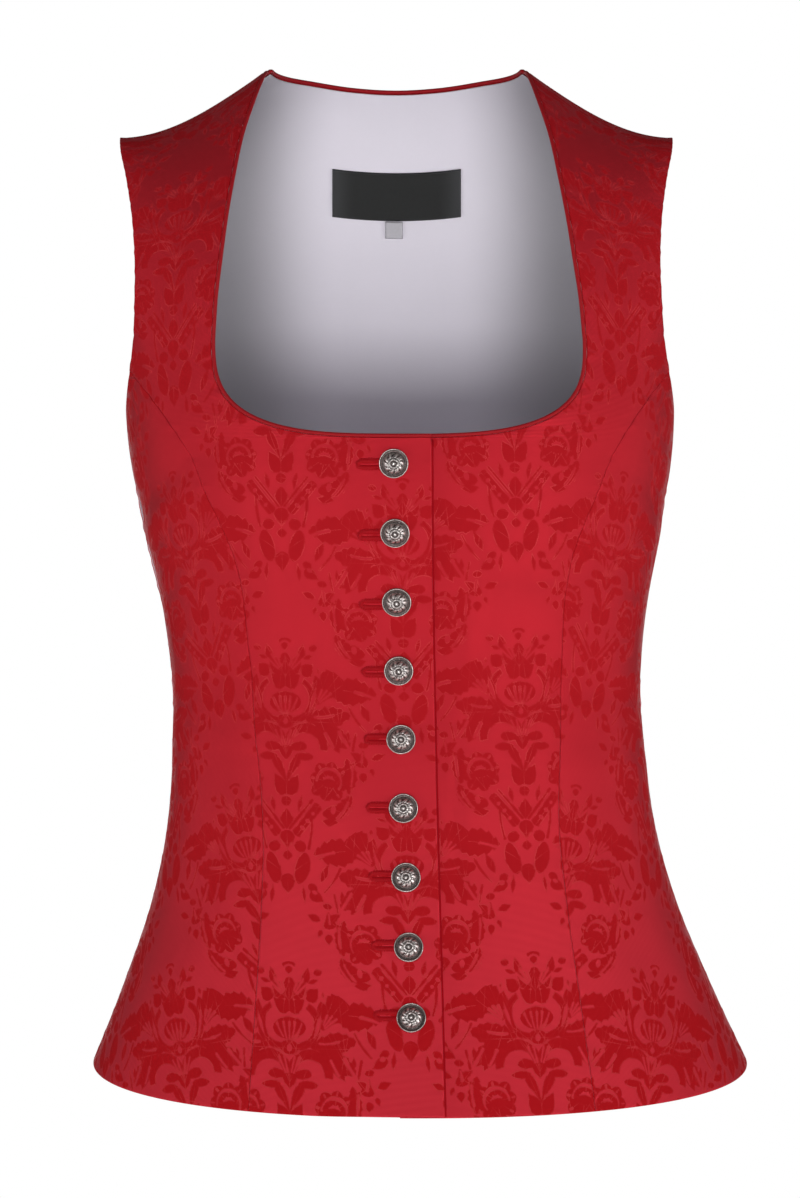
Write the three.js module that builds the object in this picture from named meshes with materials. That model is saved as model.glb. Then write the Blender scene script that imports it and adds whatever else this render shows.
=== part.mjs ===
// A sleeveless dirndl bodice in damask, buttoned down the centre front and held in its worn, hollow form.
// It is cut as two fronts with straps, two side fronts, two side backs and one back, with a lined back,
// a piped neck edge, nine metal buttons, a blank neck label and a blank size tab.
// Millimetres, +Z up. The front faces -Y and +X is the wearer's left. The origin lies midway between the
// neck ends of the two shoulder seams, where the shoulders carry the garment.
import * as THREE from "three";

// Cloth and gaps.
const WALL = 1.6; // satin with its interlining
const LINING_WALL = 0.8;
const SEAM_GAP = 0.3;
const LINING_GAP = 0.5;

// Heights of the cut, measured down from the neck ends of the shoulders.
const BUST_LEVEL = -215; // the front is widest here, and arches back to the shoulder above it
const BLADE_LEVEL = -130; // the same for the back, at the shoulder blades
const UNDERARM_Z = -200;
const SIDE_HEM_Z = -561.5;
const FRONT_HEM_DROP = 18.8;
const BACK_HEM_DROP = 8;

// The shoulder line falls from the middle of the neck to the outer end of the shoulder.
const SHOULDER_HALF = 157.5;
const NECK_HALF = 74.5;
const CREST_MIDDLE = 30;
const CREST_FALL = 68.8;
const FRONT_ARCH = 265; // length of cloth from the bust level up to the shoulder line
const BACK_ARCH = 185; // and from the blade level

// Cross sections of the worn form. level runs up the cloth: it is the height as far as the bust or blade
// level, and above that the length along the arch. half is half the width, front and back are the depths
// before and behind the shoulder line, and square is the exponent of the rounded outline.
const SECTIONS = [
  { level: -610, half: 207, front: 137, back: 127, square: 2.2 },
  { level: -560, half: 184.3, front: 122, back: 113, square: 2.2 },
  { level: -520, half: 167, front: 111, back: 102, square: 2.2 },
  { level: -470, half: 148.3, front: 101, back: 90, square: 2.2 },
  { level: -420, half: 137.3, front: 95, back: 80, square: 2.2 },
  { level: -355, half: 133.4, front: 92, back: 75, square: 2.2 },
  { level: -310, half: 137.3, front: 98.5, back: 79, square: 2.25 },
  { level: -260, half: 147.6, front: 112, back: 87, square: 2.35 },
  { level: BUST_LEVEL, half: 154.4, front: 117, back: 95, square: 2.45 },
  { level: -170, half: 157, front: 113, back: 101, square: 2.6 },
  { level: BLADE_LEVEL, half: 163, front: 112, back: 103, square: 2.65 },
  { level: -90, half: 166, front: 112, back: 101, square: 2.7 },
  { level: 60, half: 170, front: 112, back: 101, square: 2.8 },
];

// Seams and edges as seen from the front or back: x is the distance from the centre line.
const FRONT_SEAM = [
  { z: -600, x: 96 },
  { z: -525, x: 89 },
  { z: -478, x: 84.5 },
  { z: -423, x: 81.5 },
  { z: -370, x: 84.4 },
  { z: -325, x: 86.8 },
  { z: -300, x: 88.4 },
  { z: -280, x: 92.2 },
  { z: -261, x: 99.5 },
  { z: -247, x: 105.8 },
  { z: -220, x: 117.8 },
  { z: -195, x: 134.2 },
  { z: -174, x: 151 },
];
const BACK_SEAM = [
  { z: -600, x: 88 },
  { z: -520, x: 79 },
  { z: -450, x: 71 },
  { z: -360, x: 67 },
  { z: -300, x: 74 },
  { z: -250, x: 90 },
  { z: -215, x: 110 },
  { z: -190, x: 130 },
  { z: -165, x: 150 },
];
const FRONT_ARMHOLE = [
  { z: -174, x: 151 },
  { z: -157, x: 148 },
  { z: -134, x: 146.7 },
  { z: -112, x: 146.4 },
  { z: -90, x: 147.9 },
  { z: -66, x: 151.8 },
  { z: -48, x: 156 },
];
const BACK_ARMHOLE = [
  { z: -165, x: 150 },
  { z: -135, x: 147 },
  { z: -105, x: 146.5 },
  { z: -80, x: 149 },
  { z: -60, x: 152.5 },
  { z: -46, x: 156 },
];
const FRONT_STRAP_EDGE = [
  { z: -160, x: 102.7 },
  { z: -137, x: 101 },
  { z: -115, x: 98.2 },
  { z: -92, x: 95.2 },
  { z: -68, x: 91.3 },
  { z: -44, x: 87 },
  { z: -22, x: 81 },
  { z: -8, x: 77 },
];
const BACK_NECK_EDGE = [
  { x: -62, z: -1.2 },
  { x: -50, z: -1.8 },
  { x: -25, z: -4 },
  { x: 0, z: -5 },
  { x: 25, z: -4 },
  { x: 50, z: -1.8 },
  { x: 62, z: -1.2 },
];
const NECK_CORNER_Z = -160; // the strap edge turns into the low front neckline here
const NECK_CORNER_HALF = 102.7;
const NECK_BOTTOM_Z = -214.4;
const NECK_CORNER_SQUARE = 3;

// The worn form leans gently towards the wearer's left on its way down from the shoulders.
const LEAN = [
  { z: -620, x: 15.4 },
  { z: -520, x: 11.8 },
  { z: -420, x: 8 },
  { z: -300, x: 4.1 },
  { z: -200, x: 2.1 },
  { z: -60, x: 0 },
  { z: 60, x: 0 },
];

// The front closing: the wearer's right front laps over the left one. Each front runs past the centre line,
// a little further at the neckline than at the hem.
const LAP_TOP_HALF = 16.6;
const LAP_HEM_HALF = 12;
const LAP_LIFT = 2.9; // how far the upper front stands off the lower one
const LAP_FADE_FROM = 24;
const LAP_FADE_TO = 62;

// Trim and fastenings.
const PIPING_RADIUS = 1.1;
const PIPING_SIDES = 6;
const BACK_CORD_TRIM = 3;
const BUTTON_COUNT = 9;
const BUTTON_X = -4; // from the centre line
const BUTTON_TOP_Z = -228.5;
const BUTTON_PITCH = 37.4;
const BUTTON_GAP = 0.4;
const BUTTON_SIDES = 16;
const BUTTON_PROFILE = [
  { radius: 0, height: 0 },
  { radius: 7.0, height: 0 },
  { radius: 7.6, height: 0.9 },
  { radius: 7.5, height: 2.1 },
  { radius: 6.9, height: 2.2 },
  { radius: 6.3, height: 1.3 },
  { radius: 5.6, height: 2.4 },
  { radius: 3.6, height: 4.4 },
  { radius: 0, height: 5.1 },
];
const LABEL_WIDTH = 77;
const LABEL_HEIGHT = 28;
const LABEL_TOP_Z = -46;
const TAB_X = -1.6;
const TAB_WIDTH = 10.5;
const TAB_HEIGHT = 10;
const LABEL_WALL = 0.7;
const LABEL_GAP = 0.4;

// How finely each stretch of cloth is divided.
const ROWS_TO_CLOSING_TOP = 14;
const ROWS_ROUND_CORNER = 10;
const ROWS_ON_STRAP = 9;
const PANEL_COLUMNS = 6;
const BACK_NECK_COLUMNS = 8;
const NECK_FADE = 5; // the scoop of the back neck shapes the rows next to it more than those below
const CLOSING_TOP_SEAM_Z = -247; // the height on the front seam that faces the top of the closing

const LEVEL_STEP = 0.1;
const TURN_STEP = 0.001;

const QUARTER = Math.PI / 2;
const lerp = (a, b, t) => a + (b - a) * t;
const smooth = (t) => t * t * (3 - 2 * t);
const clamp01 = (t) => Math.min(1, Math.max(0, t));

// A smooth curve through the rows of a table, as a function of one of its columns.
function tableCurve(rows, from, to) {
  const x = rows.map((row) => row[from]);
  const y = rows.map((row) => row[to]);
  const last = rows.length - 1;
  const slope = x.map((_, i) => {
    const a = Math.max(0, i - 1);
    const b = Math.min(last, i + 1);
    return (y[b] - y[a]) / (x[b] - x[a]);
  });
  return (at) => {
    let i = 0;
    while (i < last - 1 && (at - x[i + 1]) * (x[last] - x[0]) > 0) i += 1;
    const h = x[i + 1] - x[i];
    const t = (at - x[i]) / h;
    const rise = y[i + 1] - y[i];
    const bend = lerp(h * slope[i] - rise, rise - h * slope[i + 1], t);
    return y[i] + rise * t + t * (1 - t) * bend;
  };
}

const leanAt = tableCurve(LEAN, "z", "x");
const section = {
  half: tableCurve(SECTIONS, "level", "half"),
  front: tableCurve(SECTIONS, "level", "front"),
  back: tableCurve(SECTIONS, "level", "back"),
  square: tableCurve(SECTIONS, "level", "square"),
};

// The two faces of the form. Each arches over to the shoulder line from its own level.
const FRONT = { depth: section.front, base: BUST_LEVEL, arch: FRONT_ARCH, sign: -1 };
const BACK = { depth: section.back, base: BLADE_LEVEL, arch: BACK_ARCH, sign: 1 };

function crestZ(x) {
  const t = Math.min(1, Math.abs(x) / SHOULDER_HALF);
  return CREST_MIDDLE - CREST_FALL * Math.sin(QUARTER * t) ** 2;
}

// The depth column is held at its arch value above the base, so that the arch alone closes the form.
const depthAt = (face, level) => face.depth(Math.min(level, face.base + face.arch));

// A point of the outer cloth: turn is the angle from the centre line of the face towards the side,
// negative on the wearer's right, and level runs up the cloth.
function formPoint(face, turn, level) {
  const half = section.half(level);
  const depth = depthAt(face, level);
  const n = section.square(level);
  const across = Math.sin(turn);
  const along = Math.cos(turn);
  const radius = (Math.abs(across / half) ** n + Math.abs(along / depth) ** n) ** (-1 / n);
  const x = radius * across;
  const y = face.sign * radius * along;
  if (level <= face.base) return new THREE.Vector3(x, y, level);
  const arch = ((level - face.base) / face.arch) * QUARTER;
  const z = face.base + (crestZ(x) - face.base) * Math.sin(arch);
  return new THREE.Vector3(x, y * Math.cos(arch), z);
}

function formNormal(face, turn, level) {
  const high = Math.min(level + LEVEL_STEP, face.base + face.arch);
  const up = formPoint(face, turn, high).sub(formPoint(face, turn, high - 2 * LEVEL_STEP));
  const side = formPoint(face, turn + TURN_STEP, level).sub(formPoint(face, turn - TURN_STEP, level));
  return up.cross(side).multiplyScalar(face.sign).normalize();
}

// The point of a face at a level that lies a distance x to the side.
function atLevel(face, x, level) {
  const half = section.half(level);
  const n = section.square(level);
  const depth = depthAt(face, level) * (1 - Math.min(1, Math.abs(x) / half) ** n) ** (1 / n);
  return { turn: Math.atan2(x, depth), level };
}

// The level at which a face reaches a height, above a point x to the side.
function levelOf(face, x, z) {
  if (z <= face.base) return z;
  const share = Math.min(1, (z - face.base) / (crestZ(x) - face.base));
  return face.base + (Math.asin(share) / QUARTER) * face.arch;
}

// The point of a face that is seen at (x, z) from the front or back, and one of its shoulder line.
const locate = (face, x, z) => atLevel(face, x, levelOf(face, x, z));
const shoulderPoint = (face, x) => atLevel(face, x, face.base + face.arch);

function hemZ(face, turn) {
  const drop = face === FRONT ? FRONT_HEM_DROP : BACK_HEM_DROP;
  const level = SIDE_HEM_Z;
  const point = formPoint(face, turn, level);
  return level - drop * Math.abs(point.y / depthAt(face, level));
}

// Rows of a seam from the hem to the armhole. Both panels at the seam share them.
function seamRows(face, table, splitZ) {
  const xAt = tableCurve(table, "z", "x");
  const top = table[table.length - 1];
  const foot = locate(face, xAt(SIDE_HEM_Z), SIDE_HEM_Z);
  const bottom = hemZ(face, foot.turn);
  const rows = [];
  for (let i = 0; i <= ROWS_TO_CLOSING_TOP + ROWS_ROUND_CORNER; i += 1) {
    const z =
      i <= ROWS_TO_CLOSING_TOP
        ? lerp(bottom, splitZ, i / ROWS_TO_CLOSING_TOP)
        : lerp(splitZ, top.z, (i - ROWS_TO_CLOSING_TOP) / ROWS_ROUND_CORNER);
    rows.push(locate(face, xAt(z), z));
  }
  return rows;
}

const frontSeam = seamRows(FRONT, FRONT_SEAM, CLOSING_TOP_SEAM_Z);
const backSeam = seamRows(BACK, BACK_SEAM, CLOSING_TOP_SEAM_Z);

// Rows of an armhole edge from the seam's top to the outer end of the shoulder.
function armholeRows(face, table) {
  const rows = [];
  const top = face.base + face.arch;
  const points = [...table.map(({ x, z }) => locate(face, x, z)), shoulderPoint(face, SHOULDER_HALF)];
  const turnAt = tableCurve(points, "level", "turn");
  for (let i = 1; i <= ROWS_ON_STRAP; i += 1) {
    const level = lerp(points[0].level, top, i / ROWS_ON_STRAP);
    rows.push({ turn: turnAt(level), level });
  }
  return rows;
}

// Moves an edge sideways along the cloth, to leave the gap of a seam.
function inset({ turn, level }, face, by) {
  const radius = Math.hypot(...formPoint(face, turn, Math.min(level, face.base)).toArray().slice(0, 2));
  return { turn: turn + by / radius, level };
}

// A grid of turn and level between two edges with as many rows each.
function gridBetween(inner, outer, columns, adjust = (cell) => cell) {
  return inner.map((start, i) =>
    Array.from({ length: columns + 1 }, (_, k) => {
      const t = k / columns;
      const cell = { turn: lerp(start.turn, outer[i].turn, t), level: lerp(start.level, outer[i].level, t) };
      return adjust(cell, t, i);
    }),
  );
}

// The inner edge of a front: up the closing, round the neckline and up the strap.
function frontInnerRows() {
  const bottom = hemZ(FRONT, 0);
  const rows = [];
  for (let i = 0; i <= ROWS_TO_CLOSING_TOP; i += 1) {
    const rise = i / ROWS_TO_CLOSING_TOP;
    const z = lerp(bottom, NECK_BOTTOM_Z, rise);
    rows.push(locate(FRONT, -lerp(LAP_HEM_HALF, LAP_TOP_HALF, rise), z));
  }
  const startAngle = -Math.asin((LAP_TOP_HALF / NECK_CORNER_HALF) ** (NECK_CORNER_SQUARE / 2));
  for (let i = 1; i <= ROWS_ROUND_CORNER; i += 1) {
    const angle = lerp(startAngle, QUARTER, (i / ROWS_ROUND_CORNER) ** 0.9);
    const power = 2 / NECK_CORNER_SQUARE;
    const x = Math.sign(angle) * Math.abs(Math.sin(angle)) ** power * NECK_CORNER_HALF;
    const z = lerp(NECK_CORNER_Z, NECK_BOTTOM_Z, Math.max(0, Math.cos(angle)) ** power);
    rows.push(locate(FRONT, x, z));
  }
  const strap = [...FRONT_STRAP_EDGE.map(({ x, z }) => locate(FRONT, x, z)), shoulderPoint(FRONT, NECK_HALF)];
  const turnAt = tableCurve(strap, "level", "turn");
  for (let i = 1; i <= ROWS_ON_STRAP; i += 1) {
    const level = lerp(strap[0].level, BUST_LEVEL + FRONT_ARCH, i / ROWS_ON_STRAP);
    rows.push({ turn: turnAt(level), level });
  }
  return rows;
}

function frontGrid() {
  const inner = frontInnerRows();
  const armhole = armholeRows(FRONT, FRONT_ARMHOLE);
  const outer = [...frontSeam.map((row) => inset(row, FRONT, -SEAM_GAP / 2)), ...armhole];
  return gridBetween(inner, outer, PANEL_COLUMNS, ({ turn, level }, t, i) => {
    if (i === inner.length - 1) return shoulderPoint(FRONT, lerp(NECK_HALF, SHOULDER_HALF, t));
    const fade = 1 - Math.min(1, i / ROWS_TO_CLOSING_TOP);
    return { turn, level: level + fade * hemBow(FRONT, inner[0], outer[0], t) };
  });
}

// How far the hem's curve lies from the straight line between two of its points.
function hemBow(face, start, end, t) {
  return hemZ(face, lerp(start.turn, end.turn, t)) - lerp(hemZ(face, start.turn), hemZ(face, end.turn), t);
}

// The level at which a face reaches a height near its side, at a given turn.
const levelAt = (face, turn, z) => levelOf(face, formPoint(face, turn, z).x, z);

// The low curve of an armhole between a seam's top and the underarm.
function armholeFootLevel(face, seamTop, turn) {
  const top = formPoint(face, seamTop.turn, seamTop.level).z;
  const share = clamp01((QUARTER - turn) / (QUARTER - seamTop.turn));
  return levelAt(face, turn, lerp(UNDERARM_Z, top, share * share));
}

function sideGrid(face, seam) {
  const last = seam.length - 1;
  const sideTop = levelAt(face, QUARTER, UNDERARM_Z);
  const rise = seam.map((row) => (row.level - seam[0].level) / (seam[last].level - seam[0].level));
  const inner = seam.map((row) => inset(row, face, SEAM_GAP / 2));
  const outer = rise.map((share) =>
    inset({ turn: QUARTER, level: lerp(SIDE_HEM_Z, sideTop, share) }, face, -SEAM_GAP / 2),
  );
  return gridBetween(inner, outer, PANEL_COLUMNS, ({ turn, level }, t, i) => {
    const topTurn = lerp(inner[last].turn, outer[last].turn, t);
    const armBow = armholeFootLevel(face, seam[last], topTurn) - lerp(seam[last].level, sideTop, t);
    const bow = (1 - rise[i]) * hemBow(face, inner[0], outer[0], t) + rise[i] * armBow;
    return { turn, level: level + bow };
  });
}

// The back in one piece: its columns end on the two shoulder seams and on the neckline between them.
function backGrid() {
  const side = [
    ...backSeam.map((row) => inset(row, BACK, -SEAM_GAP / 2)),
    ...armholeRows(BACK, BACK_ARMHOLE),
  ];
  const top = side.at(-1);
  const columns = 2 * PANEL_COLUMNS + BACK_NECK_COLUMNS;
  const neckZ = tableCurve(BACK_NECK_EDGE, "x", "z");
  const topRow = Array.from({ length: columns + 1 }, (_, k) => {
    const across = k - columns / 2;
    const neckSide = BACK_NECK_COLUMNS / 2;
    if (Math.abs(across) >= neckSide) {
      const t = (Math.abs(across) - neckSide) / PANEL_COLUMNS;
      return shoulderPoint(BACK, Math.sign(across) * lerp(NECK_HALF, SHOULDER_HALF, t));
    }
    const x = Math.sin((across / neckSide) * QUARTER) * NECK_HALF;
    return locate(BACK, x, neckZ(x));
  });
  return side.map((edge, i) => {
    const rise = i / (side.length - 1);
    return topRow.map((end, k) => {
      const t = (2 * k) / columns - 1;
      const turn = edge.turn * lerp(t, end.turn / top.turn, smooth(rise));
      const foot = hemZ(BACK, side[0].turn * t) - hemZ(BACK, side[0].turn);
      const scoop = (end.level - top.level) * rise ** NECK_FADE;
      return { turn, level: edge.level + scoop + (1 - rise) * foot };
    });
  });
}

// A closed wall through a grid of outer points, each with its normal, of a given thickness. Each quad is
// split along its shorter diagonal, measured on the panel that the wall follows.
function wallGeometry(outer, normals, thickness, panel = outer) {
  const rows = outer.length;
  const columns = outer[0].length;
  const count = rows * columns;
  const position = new Float32Array(count * 6);
  outer.forEach((row, i) =>
    row.forEach((point, k) => {
      const at = i * columns + k;
      point.toArray(position, at * 3);
      point.clone().addScaledVector(normals[i][k], -thickness).toArray(position, (at + count) * 3);
    }),
  );
  const index = [];
  const quad = (a, b, c, d) => index.push(a, b, c, a, c, d);
  const at = (i, k) => i * columns + k;
  for (let i = 0; i < rows - 1; i += 1) {
    for (let k = 0; k < columns - 1; k += 1) {
      const corners = [at(i, k), at(i, k + 1), at(i + 1, k + 1), at(i + 1, k)];
      const rising = panel[i][k].distanceTo(panel[i + 1][k + 1]);
      const falling = panel[i][k + 1].distanceTo(panel[i + 1][k]);
      if (falling < rising) corners.push(corners.shift());
      quad(...corners);
      const [a, b, c, d] = corners.map((corner) => corner + count);
      quad(a, d, c, b);
    }
  }
  for (let k = 0; k < columns - 1; k += 1) {
    quad(at(0, k + 1), at(0, k), at(0, k) + count, at(0, k + 1) + count);
    const top = rows - 1;
    quad(at(top, k), at(top, k + 1), at(top, k + 1) + count, at(top, k) + count);
  }
  for (let i = 0; i < rows - 1; i += 1) {
    quad(at(i, 0), at(i + 1, 0), at(i + 1, 0) + count, at(i, 0) + count);
    const end = columns - 1;
    quad(at(i + 1, end), at(i, end), at(i, end) + count, at(i + 1, end) + count);
  }
  return new THREE.BufferGeometry()
    .setAttribute("position", new THREE.BufferAttribute(position, 3))
    .setIndex(index);
}

// Turns a grid of turn and level into outer points and normals, moved out by lift and, for the wearer's
// right side, mirrored.
function clothGrid(face, grid, { mirrored = false, lift = () => 0 } = {}) {
  const flip = mirrored ? -1 : 1;
  const made = grid.map((row) =>
    row.map(({ turn, level }) => {
      const normal = formNormal(face, turn, level);
      const point = formPoint(face, turn, level);
      point.addScaledVector(normal, lift(point.x));
      point.setX(flip * point.x + leanAt(point.z));
      return { point, normal: normal.setX(flip * normal.x) };
    }),
  );
  // The outer face looks out of the form when the columns run to the viewer's right of that face.
  const turned = (flip > 0) === (face === FRONT) ? made : made.map((row) => [...row].reverse());
  return {
    points: turned.map((row) => row.map((cell) => cell.point)),
    normals: turned.map((row) => row.map((cell) => cell.normal)),
  };
}

function lapLift(x) {
  return LAP_LIFT * (1 - smooth(clamp01((x - LAP_FADE_FROM) / (LAP_FADE_TO - LAP_FADE_FROM))));
}

// A round cord laid along an edge, at the gap of a seam from it. Each ring belongs to one edge point.
function pipingGeometry(edge, normals, outward) {
  const rings = edge.map((point, i) => {
    const before = edge[Math.max(0, i - 1)];
    const after = edge[Math.min(edge.length - 1, i + 1)];
    const along = after.clone().sub(before).normalize();
    const aside = along.clone().cross(normals[i]).normalize().multiplyScalar(outward);
    const centre = point
      .clone()
      .addScaledVector(aside, PIPING_RADIUS + SEAM_GAP)
      .addScaledVector(normals[i], -WALL / 2);
    return Array.from({ length: PIPING_SIDES }, (_, k) => {
      const angle = ((k + 0.5) / PIPING_SIDES) * 2 * Math.PI;
      return centre
        .clone()
        .addScaledVector(aside, PIPING_RADIUS * Math.cos(angle))
        .addScaledVector(normals[i], outward * PIPING_RADIUS * Math.sin(angle));
    });
  });
  const position = rings.flat().flatMap((point) => point.toArray());
  const index = [];
  const last = rings.length - 1;
  for (let i = 0; i < last; i += 1) {
    for (let k = 0; k < PIPING_SIDES; k += 1) {
      const next = (k + 1) % PIPING_SIDES;
      const a = i * PIPING_SIDES + k;
      const b = i * PIPING_SIDES + next;
      index.push(a, a + PIPING_SIDES, b + PIPING_SIDES, a, b + PIPING_SIDES, b);
    }
  }
  for (let k = 1; k < PIPING_SIDES - 1; k += 1) {
    index.push(0, k, k + 1);
    const end = last * PIPING_SIDES;
    index.push(end, end + k + 1, end + k);
  }
  return new THREE.BufferGeometry()
    .setAttribute("position", new THREE.Float32BufferAttribute(position, 3))
    .setIndex(index);
}

// A point on the facets of a panel, with its normal, where the panel is seen at (x, z).
function onPanel(points, normals, x, z) {
  const reach = (row, at) => {
    const k = row.findIndex((point, i) => i > 0 && (point.x - at) * (row[i - 1].x - at) <= 0);
    return { k, t: (at - row[k - 1].x) / (row[k].x - row[k - 1].x) };
  };
  const onRow = (i) => {
    const { k, t } = reach(points[i], x);
    return {
      point: points[i][k - 1].clone().lerp(points[i][k], t),
      normal: normals[i][k - 1].clone().lerp(normals[i][k], t).normalize(),
    };
  };
  let above = 1;
  while (onRow(above).point.z < z) above += 1;
  const low = onRow(above - 1);
  const high = onRow(above);
  const t = (z - low.point.z) / (high.point.z - low.point.z);
  return { point: low.point.lerp(high.point, t), normal: low.normal.lerp(high.normal, t).normalize() };
}

// A small flat piece on the inside of a panel, of one width and height, below a given height.
function innerPatch(panel, { middleX, width, height, topZ, depthIn, thickness }) {
  const columns = Math.max(2, Math.round(width / 10));
  const rows = Math.max(1, Math.round(height / 10));
  const cells = Array.from({ length: rows + 1 }, (_, i) =>
    Array.from({ length: columns + 1 }, (_, k) => {
      const x = middleX + lerp(width / 2, -width / 2, k / columns);
      return onPanel(panel.points, panel.normals, x, lerp(topZ - height, topZ, i / rows));
    }),
  );
  const normals = cells.map((row) => row.map((cell) => cell.normal));
  const points = cells.map((row) => row.map(({ point, normal }) => point.addScaledVector(normal, -depthIn)));
  return wallGeometry(points, normals, thickness);
}

const finish = (name, color, roughness, metalness = 0) =>
  new THREE.MeshStandardMaterial({ name, color, roughness, metalness });
const damask = finish("damask", 0xb01c28, 0.55);
const pipingCloth = finish("piping", 0xa01420, 0.6);
const liningCloth = finish("lining", 0xd8d2dc, 0.7);
const labelCloth = finish("label", 0x101210, 0.8);
const tabCloth = finish("size_tab", 0xe4e2e6, 0.8);
const oldSilver = finish("button", 0x9a9690, 0.35, 1);

const garment = new THREE.Group();

function addPiece(name, geometry, material) {
  const mesh = new THREE.Mesh(geometry, material);
  mesh.name = name;
  garment.add(mesh);
  return mesh;
}

function addFronts() {
  const grid = frontGrid();
  const left = clothGrid(FRONT, grid);
  const right = clothGrid(FRONT, grid, { mirrored: true, lift: lapLift });
  addPiece("front_left", wallGeometry(left.points, left.normals, WALL), damask);
  addPiece("front_right", wallGeometry(right.points, right.normals, WALL), damask);
  const neckEdge = (rows, column) => rows.slice(ROWS_TO_CLOSING_TOP).map((row) => row.at(column));
  const cord = ({ points, normals }, column, outward) =>
    pipingGeometry(neckEdge(points, column), neckEdge(normals, column), outward);
  addPiece("piping_left", cord(left, 0, -1), pipingCloth);
  addPiece("piping_right", cord(right, -1, 1), pipingCloth);
  addButtons(right);
}

function addSides() {
  for (const [place, face, seam] of [
    ["front", FRONT, frontSeam],
    ["back", BACK, backSeam],
  ]) {
    const grid = sideGrid(face, seam);
    for (const mirrored of [false, true]) {
      const { points, normals } = clothGrid(face, grid, { mirrored });
      addPiece(`side_${place}_${mirrored ? "right" : "left"}`, wallGeometry(points, normals, WALL), damask);
    }
  }
}

function addBack() {
  const panel = clothGrid(BACK, backGrid());
  const { points, normals } = panel;
  // The shoulder seams leave the gap of a seam to the fronts, which end on the shoulder line.
  points.at(-1).forEach((point) => {
    point.y += SEAM_GAP;
  });
  addPiece("back", wallGeometry(points, normals, WALL), damask);
  const inner = points.map((row, i) =>
    row.map((point, k) => point.clone().addScaledVector(normals[i][k], -WALL - LINING_GAP)),
  );
  addPiece("lining_back", wallGeometry(inner, normals, LINING_WALL, points), liningCloth);
  const neckColumns = [PANEL_COLUMNS, PANEL_COLUMNS + BACK_NECK_COLUMNS + 1];
  const edge = points.at(-1).slice(...neckColumns);
  const edgeNormals = normals.at(-1).slice(...neckColumns);
  // Its ends stop short of the cords that come up the straps.
  for (const [end, next] of [
    [0, 1],
    [edge.length - 1, edge.length - 2],
  ]) {
    edge[end] = edge[end].clone().lerp(edge[next], BACK_CORD_TRIM / edge[end].distanceTo(edge[next]));
  }
  addPiece("piping_back", pipingGeometry(edge, edgeNormals, -1), pipingCloth);
  addLabels(panel);
}

function addLabels(panel) {
  const depthIn = WALL + LINING_GAP + LINING_WALL + LABEL_GAP;
  const shared = { depthIn, thickness: LABEL_WALL };
  const label = { ...shared, middleX: 0, width: LABEL_WIDTH, height: LABEL_HEIGHT, topZ: LABEL_TOP_Z };
  const tabTop = LABEL_TOP_Z - LABEL_HEIGHT - SEAM_GAP;
  const tab = { ...shared, middleX: TAB_X, width: TAB_WIDTH, height: TAB_HEIGHT, topZ: tabTop };
  addPiece("label", innerPatch(panel, label), labelCloth);
  addPiece("size_tab", innerPatch(panel, tab), tabCloth);
}

function addButtons(panel) {
  const profile = BUTTON_PROFILE.map(({ radius, height }) => new THREE.Vector2(radius, height));
  for (let i = 0; i < BUTTON_COUNT; i += 1) {
    const z = BUTTON_TOP_Z - i * BUTTON_PITCH;
    const { point, normal } = onPanel(panel.points, panel.normals, BUTTON_X + leanAt(z), z);
    const button = addPiece(`button_${i + 1}`, new THREE.LatheGeometry(profile, BUTTON_SIDES), oldSilver);
    button.quaternion.setFromUnitVectors(new THREE.Vector3(0, 1, 0), normal);
    button.position.copy(point).addScaledVector(normal, BUTTON_GAP);
  }
}

addFronts();
addSides();
addBack();

export default garment;
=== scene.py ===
"""The looks of a dirndl bodice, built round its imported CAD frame.

The cloth follows the cross sections, seams and edges of the solids, with finer rows, rolled edges,
creases and a woven damask. Sizes are in millimetres until mesh_piece() makes them metres. +Z is up,
the front faces -Y and +X is the wearer's left.
"""
import math
from collections import namedtuple

import bpy
import numpy as np
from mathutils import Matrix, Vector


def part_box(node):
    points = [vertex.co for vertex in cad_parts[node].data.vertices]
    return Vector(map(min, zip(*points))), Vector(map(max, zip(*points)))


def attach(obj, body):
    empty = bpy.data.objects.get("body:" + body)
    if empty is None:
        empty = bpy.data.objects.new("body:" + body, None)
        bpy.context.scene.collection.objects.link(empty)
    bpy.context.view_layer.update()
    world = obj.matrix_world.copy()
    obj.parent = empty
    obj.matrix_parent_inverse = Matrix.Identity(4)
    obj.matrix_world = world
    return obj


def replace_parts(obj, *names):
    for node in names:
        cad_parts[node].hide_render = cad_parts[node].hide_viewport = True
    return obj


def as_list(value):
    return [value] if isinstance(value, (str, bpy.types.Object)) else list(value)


MM = 0.001
QUARTER = math.pi / 2

# The camera of the photograph, level and square to the bodice: its place in metres, its focal length
# and frame in the photo's pixels, and its sensor in millimetres.
CAMERA_PLACE = (0.002, -2.2, -0.3015)
FOCAL_PIXELS = 3859.6
FRAME_HEIGHT_PIXELS = 1198
SENSOR_HEIGHT = 36.0

# Cloth and gaps.
WALL = 1.6
LINING_WALL = 0.8
SEAM_GAP = 0.3
STITCHED_GAP = 0.01  # from each edge to its seam line, once the seam is drawn tight
LINING_GAP = 0.5

# Heights and half widths of the cut. Height 0 is at the neck ends of the shoulders.
BUST_LEVEL = -215
BLADE_LEVEL = -130
UNDERARM_Z = -200
SIDE_HEM_Z = -561.5
SHOULDER_HALF = 157.5
NECK_HALF = 74.5
CREST_MIDDLE = 30
CREST_FALL = 68.8

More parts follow.
